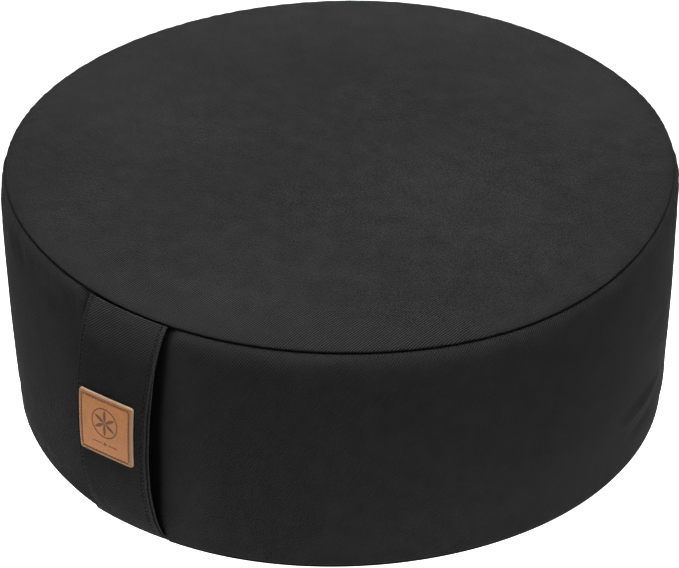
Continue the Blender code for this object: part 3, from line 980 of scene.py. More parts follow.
def twill_material(name, look, lean):
    """Charcoal twill: ribs, yarn specks, soft patches of tone, paler where an edge is rubbed and
    where highlights are painted, near black where shade is painted.
    """
    material, tree, shader = principled(name)
    place = add_node(tree, "ShaderNodeUVMap", -1100, 0, uv_map="cloth")
    solid = add_node(tree, "ShaderNodeTexCoord", -1100, -300)
    weave = add_node(tree, "ShaderNodeGroup", -850, 0, node_tree=twill_group())
    tree.links.new(place.outputs[0], weave.inputs["Place"])
    set_inputs(weave, {"Rib Pitch": look.rib_pitch, "Yarn Pitch": look.yarn_pitch, "Lean": lean})
    tone = add_node(tree, "ShaderNodeGroup", -850, -300, node_tree=tone_group())
    tree.links.new(solid.outputs["Object"], tone.inputs["Place"])
    set_inputs(tone, {"Broad Scale": 8.0, "Fine Scale": 90.0, "Contrast": 0.9})
    # This mark lightens the cloth: painted highlights under the top seam, beside the strap, at the
    # top panel's back and on the strap's upper part, and the strap's rubbed edges.
    wear_and_painted_light = add_node(tree, "ShaderNodeAttribute", -850, -550, attribute_name="wear_and_painted_light")
    blend = add_math(tree, "MULTIPLY_ADD", -600, -100, tone.outputs["Tone"], 0.36, -0.18)
    blend = add_math(tree, "ADD", -440, -60, weave.outputs["Shade"], blend)
    blend = add_math(tree, "MULTIPLY_ADD", -280, -60, wear_and_painted_light.outputs["Fac"], 0.50, blend)
    raised = add_node(tree, "ShaderNodeAttribute", -850, -750, attribute_name="raised")
    crest = add_math(tree, "MULTIPLY_ADD", -600, -700, weave.outputs["Height"], 1.3, -0.5)
    blend = add_math(tree, "MULTIPLY_ADD", -280, -260, raised.outputs["Fac"], crest, blend)
    clamp = add_node(tree, "ShaderNodeClamp", -120, -60)
    tree.links.new(blend, clamp.inputs["Value"])
    colour = ramp_between(tree, 80, 60, clamp.outputs[0], look.dark, look.light)
    # Painted shade: near black in the seams' grooves, on the strap's back and on the wall behind
    # the strap.
    painted_shade = add_node(tree, "ShaderNodeAttribute", 80, 260, attribute_name="painted_shade")
    colour = ramp_between(tree, 280, 60, painted_shade.outputs["Fac"], colour, look.painted_shade)
    tree.links.new(colour, shader.inputs["Base Color"])
    rough = add_math(tree, "MULTIPLY_ADD", 80, -150, tone.outputs["Tone"], 0.10, 0.84)
    tree.links.new(rough, shader.inputs["Roughness"])
    shader.inputs["Sheen Weight"].default_value = 0.001
    shader.inputs["Sheen Roughness"].default_value = 0.5
    shader.inputs["Specular IOR Level"].default_value = 0.02
    add_bump(tree, shader, weave.outputs["Height"], 280, -300, 0.6, 0.00045)
    return material


def thread_material(name, colour, roughness):
    """Twisted sewing thread: fine turns along it, darker in the hollows."""
    material, tree, shader = principled(name)
    solid = add_node(tree, "ShaderNodeTexCoord", -900, 0)
    strands = add_node(tree, "ShaderNodeTexNoise", -700, 0)
    set_inputs(strands, {"Scale": 4200.0, "Detail": 2.0})
    tree.links.new(solid.outputs["Object"], strands.inputs["Vector"])
    dark = [part * 0.55 for part in colour]
    light = [min(1.0, part * 1.5) for part in colour]
    mixed = ramp_between(tree, -400, 60, strands.outputs["Fac"], dark, light)
    tree.links.new(mixed, shader.inputs["Base Color"])
    rough = add_math(tree, "MULTIPLY_ADD", -400, -150, strands.outputs["Fac"], 0.2, roughness)
    tree.links.new(rough, shader.inputs["Roughness"])
    add_bump(tree, shader, strands.outputs["Fac"], -100, -250, 0.4, 0.0001)
    return material


def leather_material(look):
    """Tan leather: grain and pores, uneven tone, a pale cut edge and a dark pressed ornament."""
    material, tree, shader = principled("tan leather")
    solid = add_node(tree, "ShaderNodeTexCoord", -1100, 0)
    grain = add_node(tree, "ShaderNodeGroup", -850, 0, node_tree=grain_group())
    tree.links.new(solid.outputs["Object"], grain.inputs["Place"])
    tone = add_node(tree, "ShaderNodeGroup", -850, -250, node_tree=tone_group())
    tree.links.new(solid.outputs["Object"], tone.inputs["Place"])
    set_inputs(tone, {"Broad Scale": 60.0, "Fine Scale": 420.0, "Contrast": 1.0})
    deep = [part * 0.72 for part in look.face]
    pale = [min(1.0, part * 1.28) for part in look.face]
    both = add_math(tree, "MULTIPLY_ADD", -640, -150, grain.outputs["Pores"], 0.35, -0.17)
    both = add_math(tree, "ADD", -480, -150, both, tone.outputs["Tone"])
    colour = ramp_between(tree, -300, 60, both, deep, pale)
    cut = add_node(tree, "ShaderNodeAttribute", -480, -380, attribute_name="cut_edge")
    colour = ramp_between(tree, -100, 40, cut.outputs["Fac"], colour, look.edge)
    rim = add_node(tree, "ShaderNodeAttribute", -480, -560, attribute_name="sewn_line")
    shade = [part * 0.45 for part in look.face]
    line = add_math(tree, "MULTIPLY", -280, -560, rim.outputs["Fac"], 0.5)
    colour = ramp_between(tree, 80, 30, line, colour, shade)
    mark = add_node(tree, "ShaderNodeAttribute", -480, -740, attribute_name="pressed")
    colour = ramp_between(tree, 260, 20, mark.outputs["Fac"], colour, look.pressed)
    tree.links.new(colour, shader.inputs["Base Color"])
    rough = add_math(tree, "MULTIPLY_ADD", -300, -250, grain.outputs["Pores"], 0.22, 0.42)
    tree.links.new(rough, shader.inputs["Roughness"])
    shader.inputs["Specular IOR Level"].default_value = 0.3
    add_bump(tree, shader, grain.outputs["Height"], 260, -300, 0.45, 0.00012)
    return material


def strap_value(column, height):
    """Values of a column of the strap's table at heights, on a smooth curve through its rows."""
    rows = STRAP_STATIONS
    height = np.clip(np.asarray(height, float), rows[-1][0], rows[0][0])
    heights = np.array([row[0] for row in rows])
    values = np.array([row[column] for row in rows])
    slopes = np.empty(len(rows))
    slopes[1:-1] = (values[2:] - values[:-2]) / (heights[2:] - heights[:-2])
    slopes[0] = (values[1] - values[0]) / (heights[1] - heights[0])
    slopes[-1] = (values[-1] - values[-2]) / (heights[-1] - heights[-2])
    index = np.clip(np.searchsorted(-heights, -height, side="right") - 1, 0, len(rows) - 2)
    step = heights[index + 1] - heights[index]
    share = (height - heights[index]) / step
    cube, square = share ** 3, share ** 2
    result = (2.0 * cube - 3.0 * square + 1.0) * values[index]
    result = result + (cube - 2.0 * square + share) * step * slopes[index]
    result = result + (3.0 * square - 2.0 * cube) * values[index + 1]
    return result + (cube - square) * step * slopes[index + 1]


def strap_place(drum, across, height, depth):
    """Points of the strap: across from -1 to 1, at a depth behind its front face."""
    top, bottom = STRAP_STATIONS[0][0], STRAP_STATIONS[-1][0]
    half = strap_value(3, height) / 2.0
    reach = strap_value(1, height) + strap_value(4, height) * across * half
    reach = reach - strap_value(5, height) * across * across
    openness = np.clip(1.0 - ((height - top / 2.0) / (top / 2.0)) ** 2, 0.0, 1.0)
    curled = np.clip((-across - LEFT_CURL_START) / (1.0 - LEFT_CURL_START), 0.0, 1.2)
    reach = reach - LEFT_CURL * openness * curled ** 2
    upper = np.minimum(top, height + 0.0008)
    lower = np.maximum(bottom, height - 0.0008)
    change = strap_value(1, upper) - strap_value(1, lower)
    length = np.hypot(change, upper - lower)
    outward, upward = (upper - lower) / length, -change / length
    eased = np.clip((across - 0.4) / 0.6, 0.0, 1.2)
    x = strap_value(2, height) + across * half + RIGHT_EASE * openness * eased ** 2
    y = -(reach - depth * outward)
    azimuth = np.degrees(np.arctan2(y, x))
    z = (height - depth * upward) * seam_level(drum, azimuth) / drum.seam_height
    return np.stack([x, y, z], -1)


def strap_thickness(strap, height):
    """Thickness of the strap, which is pressed thinner where its ends are sewn in."""
    inward = np.minimum(STRAP_STATIONS[0][0] - height, height - STRAP_STATIONS[-1][0])
    share = np.clip(inward / STRAP_END_TAPER, 0.0, 1.0)
    return STRAP_END_THICKNESS + (strap.thickness - STRAP_END_THICKNESS) * share


def strap_relief(across, height):
    """Small soft creases of the strap's cloth, as a depth behind its face."""
    total = 0.00022 * np.sin(height * 190.0 + across * 1.3) * np.sin(height * 47.0 + 1.0)
    crease = across + 0.80 - (0.045 - height) * 9.0
    low = np.clip(1.0 - ((height - 0.024) / 0.024) ** 2, 0.0, 1.0)
    total = total - 0.00028 * low * np.exp(-(crease / 0.09) ** 2)
    total = total + 0.00024 * low * np.exp(-((crease - 0.17) / 0.10) ** 2)
    top = np.clip((height - 0.126) / 0.020, 0.0, 1.0)
    return total + 0.00016 * top * np.sin(across * 17.0 + height * 260.0)


def strap_mesh(drum, strap):
    """The strap as a closed folded strip with soft edges and a sunk stitching line."""
    top, bottom = STRAP_STATIONS[0][0], STRAP_STATIONS[-1][0]
    rows, side = STRAP_ROWS, len(EDGE_SHARES)
    share = np.linspace(0.0, 1.0, rows)
    denser_ends = np.sin(2.0 * math.pi * share) / (2.0 * math.pi) * 0.4
    heights = top + (bottom - top) * (share - denser_ends)
    share_in = np.array(EDGE_SHARES)
    angle = np.arccos(1.0 - 2.0 * share_in)
    length = [0.0]
    middle = strap_place(drum, np.zeros(rows), heights, np.zeros(rows))
    for one, two in zip(middle, middle[1:]):
        length.append(length[-1] + float(np.linalg.norm(two - one)))
    places, cloth, wear_and_painted_light, ribs, painted_shades = [], [], [], [], []
    for row, height in enumerate(heights):
        thick = float(strap_thickness(strap, height))
        half = float(strap_value(3, height)) / 2.0
        round_share = 0.5 * thick * 0.9 / half
        line = 1.0 - strap.stitch_inset / half
        across = list(np.linspace(-1.0 + round_share, 1.0 - round_share, STRAP_COLUMNS))
        for step in STITCH_STEPS:
            across += [line + step, -line - step]
        across = np.array(sorted(across))
        gap = (np.abs(across) - line) * half
        sewn = np.exp(-(gap / 0.00045) ** 2)
        groove = 0.00060 * sewn - 0.00020 * np.exp(-((gap - 0.0019) / 0.0007) ** 2)
        taper = min(1.0, thick / strap.thickness)
        tall = np.full_like(across, height)
        relief = strap_relief(across, tall) * taper
        faces = strap_place(drum, across, tall, groove * taper + relief)
        open_share = max(0.0, 1.0 - ((height / top - 0.42) / 0.42) ** 2)
        parted = thick * 0.40 * open_share * np.clip((across - 0.75) / 0.25, 0.0, 1.0) ** 2
        backs = strap_place(drum, across, tall, thick + parted + relief)
        rims = {}
        split = min(1.0, 2.2 * open_share) * np.exp(-((share_in - SPLIT_SHARE) / 0.06) ** 2)
        under = min(1.0, 1.5 * open_share) * np.clip((share_in - 0.42) / 0.09, 0.0, 1.0)
        for sign in (-1.0, 1.0):
            out = 1.0 - round_share + round_share * np.sin(angle) ** 0.7 - 0.0009 / half * split
            if sign > 0.0:
                out = out + 0.0012 / half * under
            out = sign * out
            deep = (thick + (parted[-1] if sign > 0 else 0.0)) * share_in
            tall = np.full_like(angle, height)
            deep = deep + strap_relief(np.full_like(angle, sign), tall) * taper
            rims[sign] = (out, strap_place(drum, out, tall, deep))
        ring = np.concatenate([faces, rims[1.0][1], backs[::-1], rims[-1.0][1][::-1]])
        wide = np.concatenate([across, rims[1.0][0], across[::-1], rims[-1.0][0][::-1]])
        places.append(ring)
        # Lighter rims as rubbed edges, a painted highlight along the fold at the face's edge, and
        # painted light over the strap's upper part.
        rub_and_highlight = np.clip((np.abs(wide) - (line + 0.02)) / (1.0 - line), 0.0, 1.0)
        rub_and_highlight[:len(across)] = 0.5 * np.exp(-((gap - 0.0024) / 0.0005) ** 2)
        upper = min(1.0, max(0.0, (height - 0.128) / 0.022))
        wear_and_painted_light.append(rub_and_highlight + 0.75 * upper)
        ribs.append(np.full(len(wide), 1.1 * upper - 0.25))
        # Painted shade in the stitching groove, in the split of each folded edge and on the
        # strap's back.
        shade_share = np.zeros(len(wide))
        shade_share[:len(across)] = 0.8 * sewn
        shade_share[len(across):len(across) + side] = split
        shade_share[-side:] = split
        shade_share[len(across) + side:2 * len(across) + side] = 0.8
        painted_shades.append(shade_share)
        cloth.append(np.stack([wide * half, np.full(len(wide), -length[row])], 1))
    count = len(places[0])
    faces, maps = [], []
    for row in range(rows - 1):
        for index in range(count):
            following = (index + 1) % count
            corners = ((row, index), (row + 1, index), (row + 1, following), (row, following))
            faces.append(tuple(r * count + i for r, i in corners))
            maps += [cloth[r][i] for r, i in corners]
    for row, order in ((0, list(range(count))), (rows - 1, list(range(count))[::-1])):
        faces.append(tuple(row * count + index for index in order))
        maps += [cloth[row][index] for index in order]
    return cloth_mesh("strap", np.concatenate(places), faces, maps,
                      {"wear_and_painted_light": np.concatenate(wear_and_painted_light), "raised": np.concatenate(ribs),
                       "painted_shade": np.concatenate(painted_shades)})


def rounded_square(angle, inner):
    """Reach of a rounded square by direction, in half sides. Its corners are round past inner."""
    radius = 1.0 - inner
    cosine, sine = np.abs(np.cos(angle)), np.abs(np.sin(angle))
    straight = 1.0 / np.maximum(cosine, sine)
    along = inner * (cosine + sine)
    inside = np.clip(along ** 2 - 2.0 * inner ** 2 + radius ** 2, 0.0, None)
    corner = along + np.sqrt(inside)
    in_corner = (straight * np.minimum(cosine, sine)) > inner
    return np.where(in_corner, corner, straight)


def patch_place(drum, patch, share_x, share_z, height_over):
    """Points on the strap for places on the patch, which is cut a little narrower at its foot."""
    half = patch.side / 2.0
    right, low = (1.0 + share_x) / 2.0, (1.0 - share_z) / 2.0
    height = patch.height + share_z * half + right * (0.0008 - 0.0004 * low)
    across = patch.across + (share_x - 0.06 * right * low) * half - strap_value(2, height)
    return strap_place(drum, across / (strap_value(3, height) / 2.0), height, -height_over)


def patch_edge_distance(patch, x, z):
    """Distance in metres from points on the patch to its rounded edge."""
    half = patch.side / 2.0
    inner = half - patch.corner
    dx = np.maximum(np.abs(x) * half - inner, 0.0)
    dz = np.maximum(np.abs(z) * half - inner, 0.0)
    outside = np.hypot(dx, dz)
    nearest = np.minimum(half - np.abs(x) * half, half - np.abs(z) * half)
    return np.where((dx > 0.0) & (dz > 0.0), patch.corner - outside, nearest)


def ornament(x, z):
    """A compass-drawn rosette over a short rule, from 0 outside to 1 inside, in millimetres."""
    up = z - 3.4
    reach, offset = 8.6, 8.6 * math.sqrt(3.0) / 2.0
    shape = 0.34 - np.abs(np.hypot(x, up) - 9.2)
    for step in range(6):
        angle = math.radians(60.0 * step + 30.0)
        middle_x, middle_z = reach * math.cos(angle) / 2.0, reach * math.sin(angle) / 2.0
        side_x, side_z = -math.sin(angle) * offset, math.cos(angle) * offset
        first = reach - np.hypot(x - middle_x - side_x, up - middle_z - side_z)
        second = reach - np.hypot(x - middle_x + side_x, up - middle_z + side_z)
        shape = np.maximum(shape, np.minimum(first, second) - 0.12)
    rule = 0.26 - np.abs(z + 10.6)
    rule = np.minimum(rule, np.minimum(9.0 - np.abs(x), np.abs(x) - 2.5))
    shape = np.maximum(shape, rule)
    shape = np.maximum(shape, 0.75 - 0.6 * (np.abs(x) + np.abs(z + 10.6)))
    return np.clip(shape / 0.22 + 0.5, 0.0, 1.0)


def patch_mesh(drum, patch):
    """The leather patch: a fine front that carries the pressed ornament, a cut edge and a back."""
    cells = PATCH_CELLS
    line = np.linspace(-1.0, 1.0, cells + 1)
    grid_x, grid_z = np.meshgrid(line, line, indexing="ij")
    angle = np.arctan2(grid_z, grid_x)
    straight = 1.0 / np.maximum(np.abs(np.cos(angle)), np.abs(np.sin(angle)))
    pull = rounded_square(angle, 1.0 - patch.corner / (patch.side / 2.0)) / straight
    size = np.maximum(np.abs(grid_x), np.abs(grid_z))
    pull = 1.0 + (pull - 1.0) * size ** 3
    x, z = (grid_x * pull).ravel(), (grid_z * pull).ravel()
    half = patch.side / 2.0
    gap = np.clip(patch_edge_distance(patch, x, z), 0.0, None)
    sunk = 0.0007 * round_in(gap, 0.0007)
    sewn = np.exp(-((gap - patch.stitch_inset) / 0.00055) ** 2)
    pressed = ornament(x * half * 1000.0, z * half * 1000.0)
    pillow = 0.00016 * np.exp(-(pressed - 0.5) ** 2 * 14.0) * (pressed > 0.02)
    lift = PATCH_GAP + patch.thickness - sunk - 0.00030 * sewn
    lift = lift - patch.press * pressed + pillow * 0.3
    front = patch_place(drum, patch, x, z, lift)
    width = cells + 1
    faces = []
    for i in range(cells):
        for j in range(cells):
            a = i * width + j
            faces.append((a, a + width, a + width + 1, a + 1))
    border = [i * width for i in range(width)]
    border += [cells * width + j for j in range(1, width)]
    border += [i * width + cells for i in range(cells - 1, -1, -1)]
    border += [j for j in range(cells - 1, 0, -1)]
    bx, bz = x[border], z[border]
    places = [front]
    marks = {"cut_edge": [np.clip(1.6 - gap / 0.00045, 0.0, 1.0)],
             "sewn_line": [np.maximum(sewn, 0.85 * (gap < patch.stitch_inset))],
             "pressed": [pressed]}
    previous = border
    total = len(front)
    for level, out in PATCH_RINGS:
        lift = np.full(len(bx), PATCH_GAP + level * patch.thickness)
        ring = patch_place(drum, patch, bx * out, bz * out, lift)
        places.append(ring)
        current = list(range(total, total + len(bx)))
        total += len(bx)
        for index in range(len(bx)):
            following = (index + 1) % len(bx)
            faces.append((current[index], current[following],
                          previous[following], previous[index]))
        previous = current
        marks["cut_edge"].append(np.ones(len(bx)))
        marks["sewn_line"].append(np.zeros(len(bx)))
        marks["pressed"].append(np.zeros(len(bx)))
    faces.append(tuple(previous))
    mesh = bpy.data.meshes.new("patch")
    mesh.from_pydata([tuple(place) for place in np.concatenate(places)], [], faces)
    for name, values in marks.items():
        mark_points(mesh, name, np.concatenate(values))
    shape = bmesh.new()
    shape.from_mesh(mesh)
    bmesh.ops.recalc_face_normals(shape, faces=shape.faces)
    shape.to_mesh(mesh)
    shape.free()
    mesh.update()
    return mesh


def stitch_tree():
    """A Geometry Nodes tree that lays rounded stitches end to end along a sewn line."""
    found = bpy.data.node_groups.get("running stitches")
    if found:
        return found
    tree = bpy.data.node_groups.new("running stitches", "GeometryNodeTree")
    face = tree.interface
    face.new_socket("Line", in_out="INPUT", socket_type="NodeSocketGeometry")
    for label, default in (("Pitch", 0.003), ("Length", 0.0024), ("Thickness", 0.0005)):
        socket = face.new_socket(label, in_out="INPUT", socket_type="NodeSocketFloat")
        socket.default_value = default
        socket.subtype = "DISTANCE"
    socket = face.new_socket("Wander", in_out="INPUT", socket_type="NodeSocketFloat")
    socket.default_value = 0.06
    socket = face.new_socket("Seed", in_out="INPUT", socket_type="NodeSocketInt")
    socket.default_value = 7
    face.new_socket("Thread", in_out="INPUT", socket_type="NodeSocketMaterial")
    face.new_socket("Stitches", in_out="OUTPUT", socket_type="NodeSocketGeometry")
    start = add_node(tree, "NodeGroupInput", -1000, 0)
    end = add_node(tree, "NodeGroupOutput", 900, 0)
    link = tree.links.new
    curve = add_node(tree, "GeometryNodeMeshToCurve", -800, 100)
    link(start.outputs["Line"], curve.inputs[0])
    spaced = add_node(tree, "GeometryNodeResampleCurve", -600, 100, mode="LENGTH")
    link(curve.outputs[0], spaced.inputs["Curve"])
    link(start.outputs["Pitch"], spaced.inputs["Length"])
    ball = add_node(tree, "GeometryNodeMeshUVSphere", -600, -200)
    set_inputs(ball, {"Segments": 8, "Rings": 6, "Radius": 0.5})
    size = add_node(tree, "ShaderNodeCombineXYZ", -600, -400)
    link(start.outputs["Thickness"], size.inputs[0])
    link(start.outputs["Thickness"], size.inputs[1])
    link(start.outputs["Length"], size.inputs[2])
    shaped = add_node(tree, "GeometryNodeTransform", -400, -200)
    link(ball.outputs[0], shaped.inputs["Geometry"])
    link(size.outputs[0], shaped.inputs["Scale"])
    tangent = add_node(tree, "GeometryNodeInputTangent", -600, 300)
    wander = add_node(tree, "FunctionNodeRandomValue", -600, 480, data_type="FLOAT_VECTOR")
    low = add_node(tree, "ShaderNodeVectorMath", -800, 420, operation="SCALE")
    low.inputs[0].default_value = (-1.0, -1.0, -1.0)
    link(start.outputs["Wander"], low.inputs["Scale"])
    high = add_node(tree, "ShaderNodeVectorMath", -800, 560, operation="SCALE")
    high.inputs[0].default_value = (1.0, 1.0, 1.0)
    link(start.outputs["Wander"], high.inputs["Scale"])
    link(low.outputs[0], wander.inputs[0])
    link(high.outputs[0], wander.inputs[1])
    link(start.outputs["Seed"], wander.inputs["Seed"])
    swayed = add_node(tree, "ShaderNodeVectorMath", -400, 380, operation="ADD")
    link(tangent.outputs[0], swayed.inputs[0])
    link(wander.outputs[0], swayed.inputs[1])
    turned = add_node(tree, "FunctionNodeAlignRotationToVector", -200, 300, axis="Z")
    link(swayed.outputs[0], turned.inputs["Vector"])
    laid = add_node(tree, "GeometryNodeInstanceOnPoints", 0, 100)
    link(spaced.outputs[0], laid.inputs["Points"])
    link(shaped.outputs[0], laid.inputs["Instance"])
    link(turned.outputs[0], laid.inputs["Rotation"])
    real = add_node(tree, "GeometryNodeRealizeInstances", 240, 100)
    link(laid.outputs[0], real.inputs[0])
    smooth = add_node(tree, "GeometryNodeSetShadeSmooth", 440, 100)
    link(real.outputs[0], smooth.inputs[0])
    coloured = add_node(tree, "GeometryNodeSetMaterial", 640, 100)
    link(smooth.outputs[0], coloured.inputs["Geometry"])
    link(start.outputs["Thread"], coloured.inputs["Material"])
    link(coloured.outputs[0], end.inputs["Stitches"])
    return tree


def sew(name, lines, closed, pitch, length, thickness, material):
    """Lay stitches along lines of points, and return them as one plain mesh piece."""
    points, edges = [], []
    for line in lines:
        first = len(points)
        points += [tuple(place) for place in line]
        edges += [(first + index, first + index + 1) for index in range(len(line) - 1)]
        if closed:
            edges.append((first + len(line) - 1, first))
    base = bpy.data.meshes.new(name + "_line")
    base.from_pydata(points, edges, [])
    guide = add_object(name + "_line", base)
    modifier = guide.modifiers.new("stitches", "NODES")
    modifier.node_group = stitch_tree()
    values = {"Pitch": pitch, "Length": length, "Thickness": thickness, "Wander": 0.06,
              "Seed": 7, "Thread": material}
    for item in modifier.node_group.interface.items_tree:
        if item.item_type == "SOCKET" and item.in_out == "INPUT" and item.name in values:
            modifier[item.identifier] = values[item.name]
    bpy.context.view_layer.update()
    mesh = evaluated_mesh(guide)
    if not mesh.polygons:
        raise RuntimeError(name + " has no stitches")
    mesh.name = name
    bpy.data.objects.remove(guide, do_unlink=True)
    return add_object(name, mesh)


def pale_screen(glow):
    """A low pale screen round the stage, so that a low view has no dark horizon."""
    material, _, shader = principled("pale screen")
    shader.inputs["Base Color"].default_value = (0.5, 0.5, 0.5, 1.0)
    shader.inputs["Roughness"].default_value = 0.9
    shader.inputs["Emission Color"].default_value = (1.0, 1.0, 1.0, 1.0)
    shader.inputs["Emission Strength"].default_value = glow
    steps, radius, height = 48, 8.5, 1.3
    points, faces = [], []
    for step in range(steps):
        angle = 2.0 * math.pi * step / steps
        for level in (0.0, height):
            points.append((radius * math.cos(angle), radius * math.sin(angle), level))
        following = (step + 1) % steps
        faces.append((2 * following, 2 * step, 2 * step + 1, 2 * following + 1))
    mesh = bpy.data.meshes.new("screen")
    mesh.from_pydata(points, [], faces)
    return place_piece("screen", mesh, material)


class CUSHION_OT_body(bpy.types.Operator):
    """Build the filled body: top panel, side band and base, sewn with pinched seams."""

    bl_idname = "cushion.body"
    bl_label = "Build Body"

    def execute(self, context):
        scene = context.scene
        drum = scene.cushion_drum
        mesh = drum_mesh(drum, "cushion_body", drum.columns)
        lay_lumps(drum, mesh)
        lay_slack(drum, mesh)
        places = read_places(mesh)
        mark_wear_and_painted_light(drum, mesh, places)
        paint_shade_behind_strap(mesh, places)
        material = twill_material("charcoal twill", scene.cushion_cloth, 0.62)
        body = place_piece("cushion_body", mesh, material)
        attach(body, "root")
        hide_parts("cushion")
        return {"FINISHED"}


class CUSHION_OT_strap(bpy.types.Operator):
    """Build the carrying strap with its edge stitching."""

    bl_idname = "cushion.strap"
    bl_label = "Build Strap"

    def execute(self, context):
        scene = context.scene
        drum, strap = scene.cushion_drum, scene.cushion_strap
        material = twill_material("charcoal strap twill", scene.cushion_cloth, 0.75)
        piece = place_piece("carrying_strap", strap_mesh(drum, strap), material)
        lines = []
        heights = np.linspace(0.1500, 0.0070, 220)
        for sign in (-1.0, 1.0):
            half = strap_value(3, heights) / 2.0
            across = sign * (1.0 - strap.stitch_inset / half)
            depth = 0.00042 + strap_relief(across, heights)
            lines.append(strap_place(drum, across, heights, depth))
        dark = [part * 0.8 for part in scene.cushion_cloth.dark]
        thread = thread_material("charcoal thread", dark, 0.7)
        stitches = sew("strap_stitching", lines, False, strap.stitch_pitch,
                       strap.stitch_length, strap.thread, thread)
        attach(piece, "root")
        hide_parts("handle_strap")
        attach(stitches, "root")
        return {"FINISHED"}


class CUSHION_OT_patch(bpy.types.Operator):
    """Build the leather patch with its running stitch and pressed ornament."""

    bl_idname = "cushion.patch"
    bl_label = "Build Patch"

    def execute(self, context):
        scene = context.scene
        drum, patch = scene.cushion_drum, scene.cushion_patch
        look = scene.cushion_leather
        piece = place_piece("leather_patch_face", patch_mesh(drum, patch), leather_material(look))
        half = patch.side / 2.0
        angle = np.radians(np.arange(0.0, 360.0, 0.5))
        inset = 1.0 - patch.stitch_inset / half
        inner = max(0.2, 1.0 - 0.0020 / (half * inset))
        reach = rounded_square(angle, inner) * inset
        x, z = np.cos(angle) * reach, np.sin(angle) * reach
        line = patch_place(drum, patch, x, z, PATCH_GAP + patch.thickness - 0.00020)
        thread = thread_material("brown waxed thread", list(look.thread), 0.75)
        stitches = sew("patch_stitching", [line], True, patch.stitch_pitch, patch.stitch_length,
                       patch.thread, thread)
        for item in (piece, stitches):
            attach(item, "root")
        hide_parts("leather_patch")
        return {"FINISHED"}


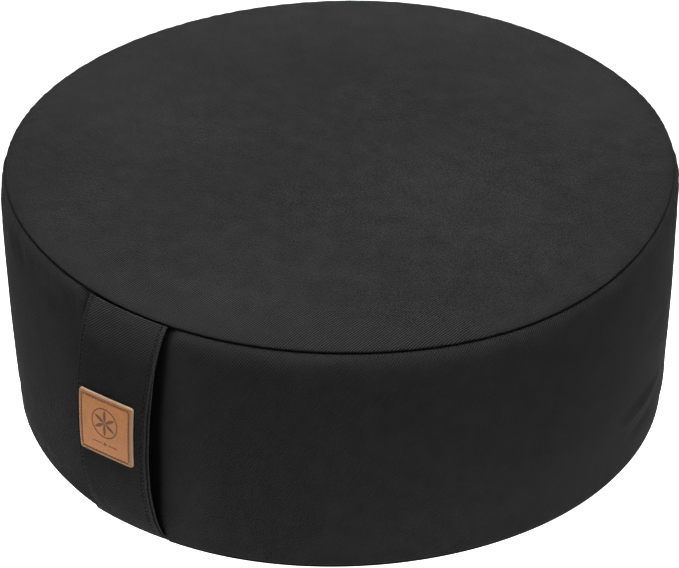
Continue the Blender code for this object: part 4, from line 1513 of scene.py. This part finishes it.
class CUSHION_OT_stage(bpy.types.Operator):
    """Set up the pale floor, the soft light and the camera."""

    bl_idname = "cushion.stage"
    bl_label = "Build Stage"

    def execute(self, context):
        scene = context.scene
        setup = scene.cushion_stage
        material, tree, shader = principled("pale floor")
        solid = add_node(tree, "ShaderNodeTexCoord", -700, 0)
        mottle = add_node(tree, "ShaderNodeTexNoise", -500, 0)
        mottle.inputs["Scale"].default_value = 3.0
        tree.links.new(solid.outputs["Object"], mottle.inputs["Vector"])
        tint = ramp_between(tree, -200, 0, mottle.outputs["Fac"], (0.50, 0.50, 0.50),
                            (0.52, 0.52, 0.52))
        tree.links.new(tint, shader.inputs["Base Color"])
        shader.inputs["Roughness"].default_value = 0.9
        shader.inputs["Specular IOR Level"].default_value = 0.1
        shader.inputs["Emission Color"].default_value = (1.0, 1.0, 1.0, 1.0)
        away = add_node(tree, "ShaderNodeVectorMath", -700, -300, operation="LENGTH")
        tree.links.new(solid.outputs["Object"], away.inputs[0])
        near = add_node(tree, "ShaderNodeMapRange", -500, -300, interpolation_type="SMOOTHSTEP")
        set_inputs(near, {"From Min": 0.20, "From Max": 0.34,
                          "To Min": setup.floor_glow + setup.rim_glow, "To Max": setup.floor_glow})
        tree.links.new(away.outputs["Value"], near.inputs["Value"])
        far = add_node(tree, "ShaderNodeMapRange", -500, -560, interpolation_type="SMOOTHSTEP")
        set_inputs(far, {"From Min": 0.9, "From Max": 2.4, "To Min": 0.0,
                         "To Max": setup.screen_glow - setup.floor_glow})
        tree.links.new(away.outputs["Value"], far.inputs["Value"])
        glow = add_math(tree, "ADD", -280, -400, near.outputs[0], far.outputs[0])
        tree.links.new(glow, shader.inputs["Emission Strength"])
        mesh = bpy.data.meshes.new("floor")
        mesh.from_pydata([(-9.0, -9.0, 0.0), (9.0, -9.0, 0.0), (9.0, 9.0, 0.0), (-9.0, 9.0, 0.0)],
                         [], [(0, 1, 2, 3)])
        floor = place_piece("floor", mesh, material)
        pale_screen(setup.screen_glow)
        lights = (
            ("top_softbox", (0.12, 0.0, 1.9), (0.0, 0.0, 0.1), 1.9, setup.top_light),
            ("left_softbox", (-1.9, -0.5, 0.9), (0.0, 0.0, 0.08), 1.2, setup.side_light),
            ("right_softbox", (1.3, 1.3, 0.9), (0.0, 0.0, 0.08), 1.2, setup.side_light),
        )
        for name, place, aim, width, power in lights:
            lamp = bpy.data.lights.new(name, "AREA")
            lamp.shape = "SQUARE"
            lamp.size = width
            lamp.energy = power
            holder = bpy.data.objects.new(name, lamp)
            holder.location = place
            direction = Vector(aim) - Vector(place)
            holder.rotation_euler = direction.to_track_quat("-Z", "Y").to_euler()
            scene.collection.objects.link(holder)
        world = bpy.data.worlds.new("room")
        world.use_nodes = True
        ground = world.node_tree.nodes["Background"]
        ground.inputs["Color"].default_value = (1.0, 1.0, 1.0, 1.0)
        ground.inputs["Strength"].default_value = setup.room_light
        scene.world = world
        lens = bpy.data.cameras.new("camera")
        lens.lens = setup.lens
        lens.sensor_width = 36.0
        lens.clip_end = 50.0
        camera = bpy.data.objects.new("camera", lens)
        direction = Vector(setup.camera_aim) - Vector(setup.camera_place)
        turn = direction.to_track_quat("-Z", "Y").to_matrix().to_4x4()
        roll = Matrix.Rotation(setup.camera_roll, 4, "Z")
        camera.matrix_world = Matrix.Translation(Vector(setup.camera_place)) @ turn @ roll
        scene.collection.objects.link(camera)
        scene.camera = camera
        scene.view_settings.view_transform = "Standard"
        scene.view_settings.look = "None"
        return {"FINISHED"}


class CUSHION_PT_panel(bpy.types.Panel):
    """The sidebar panel that lists the pieces and their sizes."""

    bl_label = "Round Cushion"
    bl_idname = "CUSHION_PT_panel"
    bl_space_type = "VIEW_3D"
    bl_region_type = "UI"
    bl_category = "Cushion"

    def draw(self, context):
        scene = context.scene
        for title, group, operator in (
                ("Body", scene.cushion_drum, "cushion.body"),
                ("Strap", scene.cushion_strap, "cushion.strap"),
                ("Patch", scene.cushion_patch, "cushion.patch"),
                ("Stage", scene.cushion_stage, "cushion.stage"),
                ("Cloth", scene.cushion_cloth, None),
                ("Leather", scene.cushion_leather, None)):
            box = self.layout.box()
            box.label(text=title)
            for name in group.bl_rna.properties.keys():
                if name not in ("rna_type", "name"):
                    box.prop(group, name)
            if operator:
                box.operator(operator)


GROUPS = (
    ("cushion_drum", CushionDrum),
    ("cushion_strap", CushionStrap),
    ("cushion_patch", CushionPatch),
    ("cushion_cloth", CushionCloth),
    ("cushion_leather", CushionLeather),
    ("cushion_stage", CushionStage),
)
TOOLS = (CUSHION_OT_body, CUSHION_OT_strap, CUSHION_OT_patch, CUSHION_OT_stage, CUSHION_PT_panel)


def register():
    """Make the settings, the operators and the panel known to Blender."""
    for name, group in GROUPS:
        bpy.utils.register_class(group)
        setattr(bpy.types.Scene, name, PointerProperty(type=group))
    for tool in TOOLS:
        bpy.utils.register_class(tool)


def unregister():
    """Take the settings, the operators and the panel away again."""
    for tool in reversed(TOOLS):
        bpy.utils.unregister_class(tool)
    for name, group in reversed(GROUPS):
        delattr(bpy.types.Scene, name)
        bpy.utils.unregister_class(group)


def main():
    """Build every piece in order."""
    register()
    bpy.ops.cushion.body()
    bpy.ops.cushion.strap()
    bpy.ops.cushion.patch()
    bpy.ops.cushion.stage()
    bpy.context.view_layer.update()


if __name__ == "__main__":
    main()
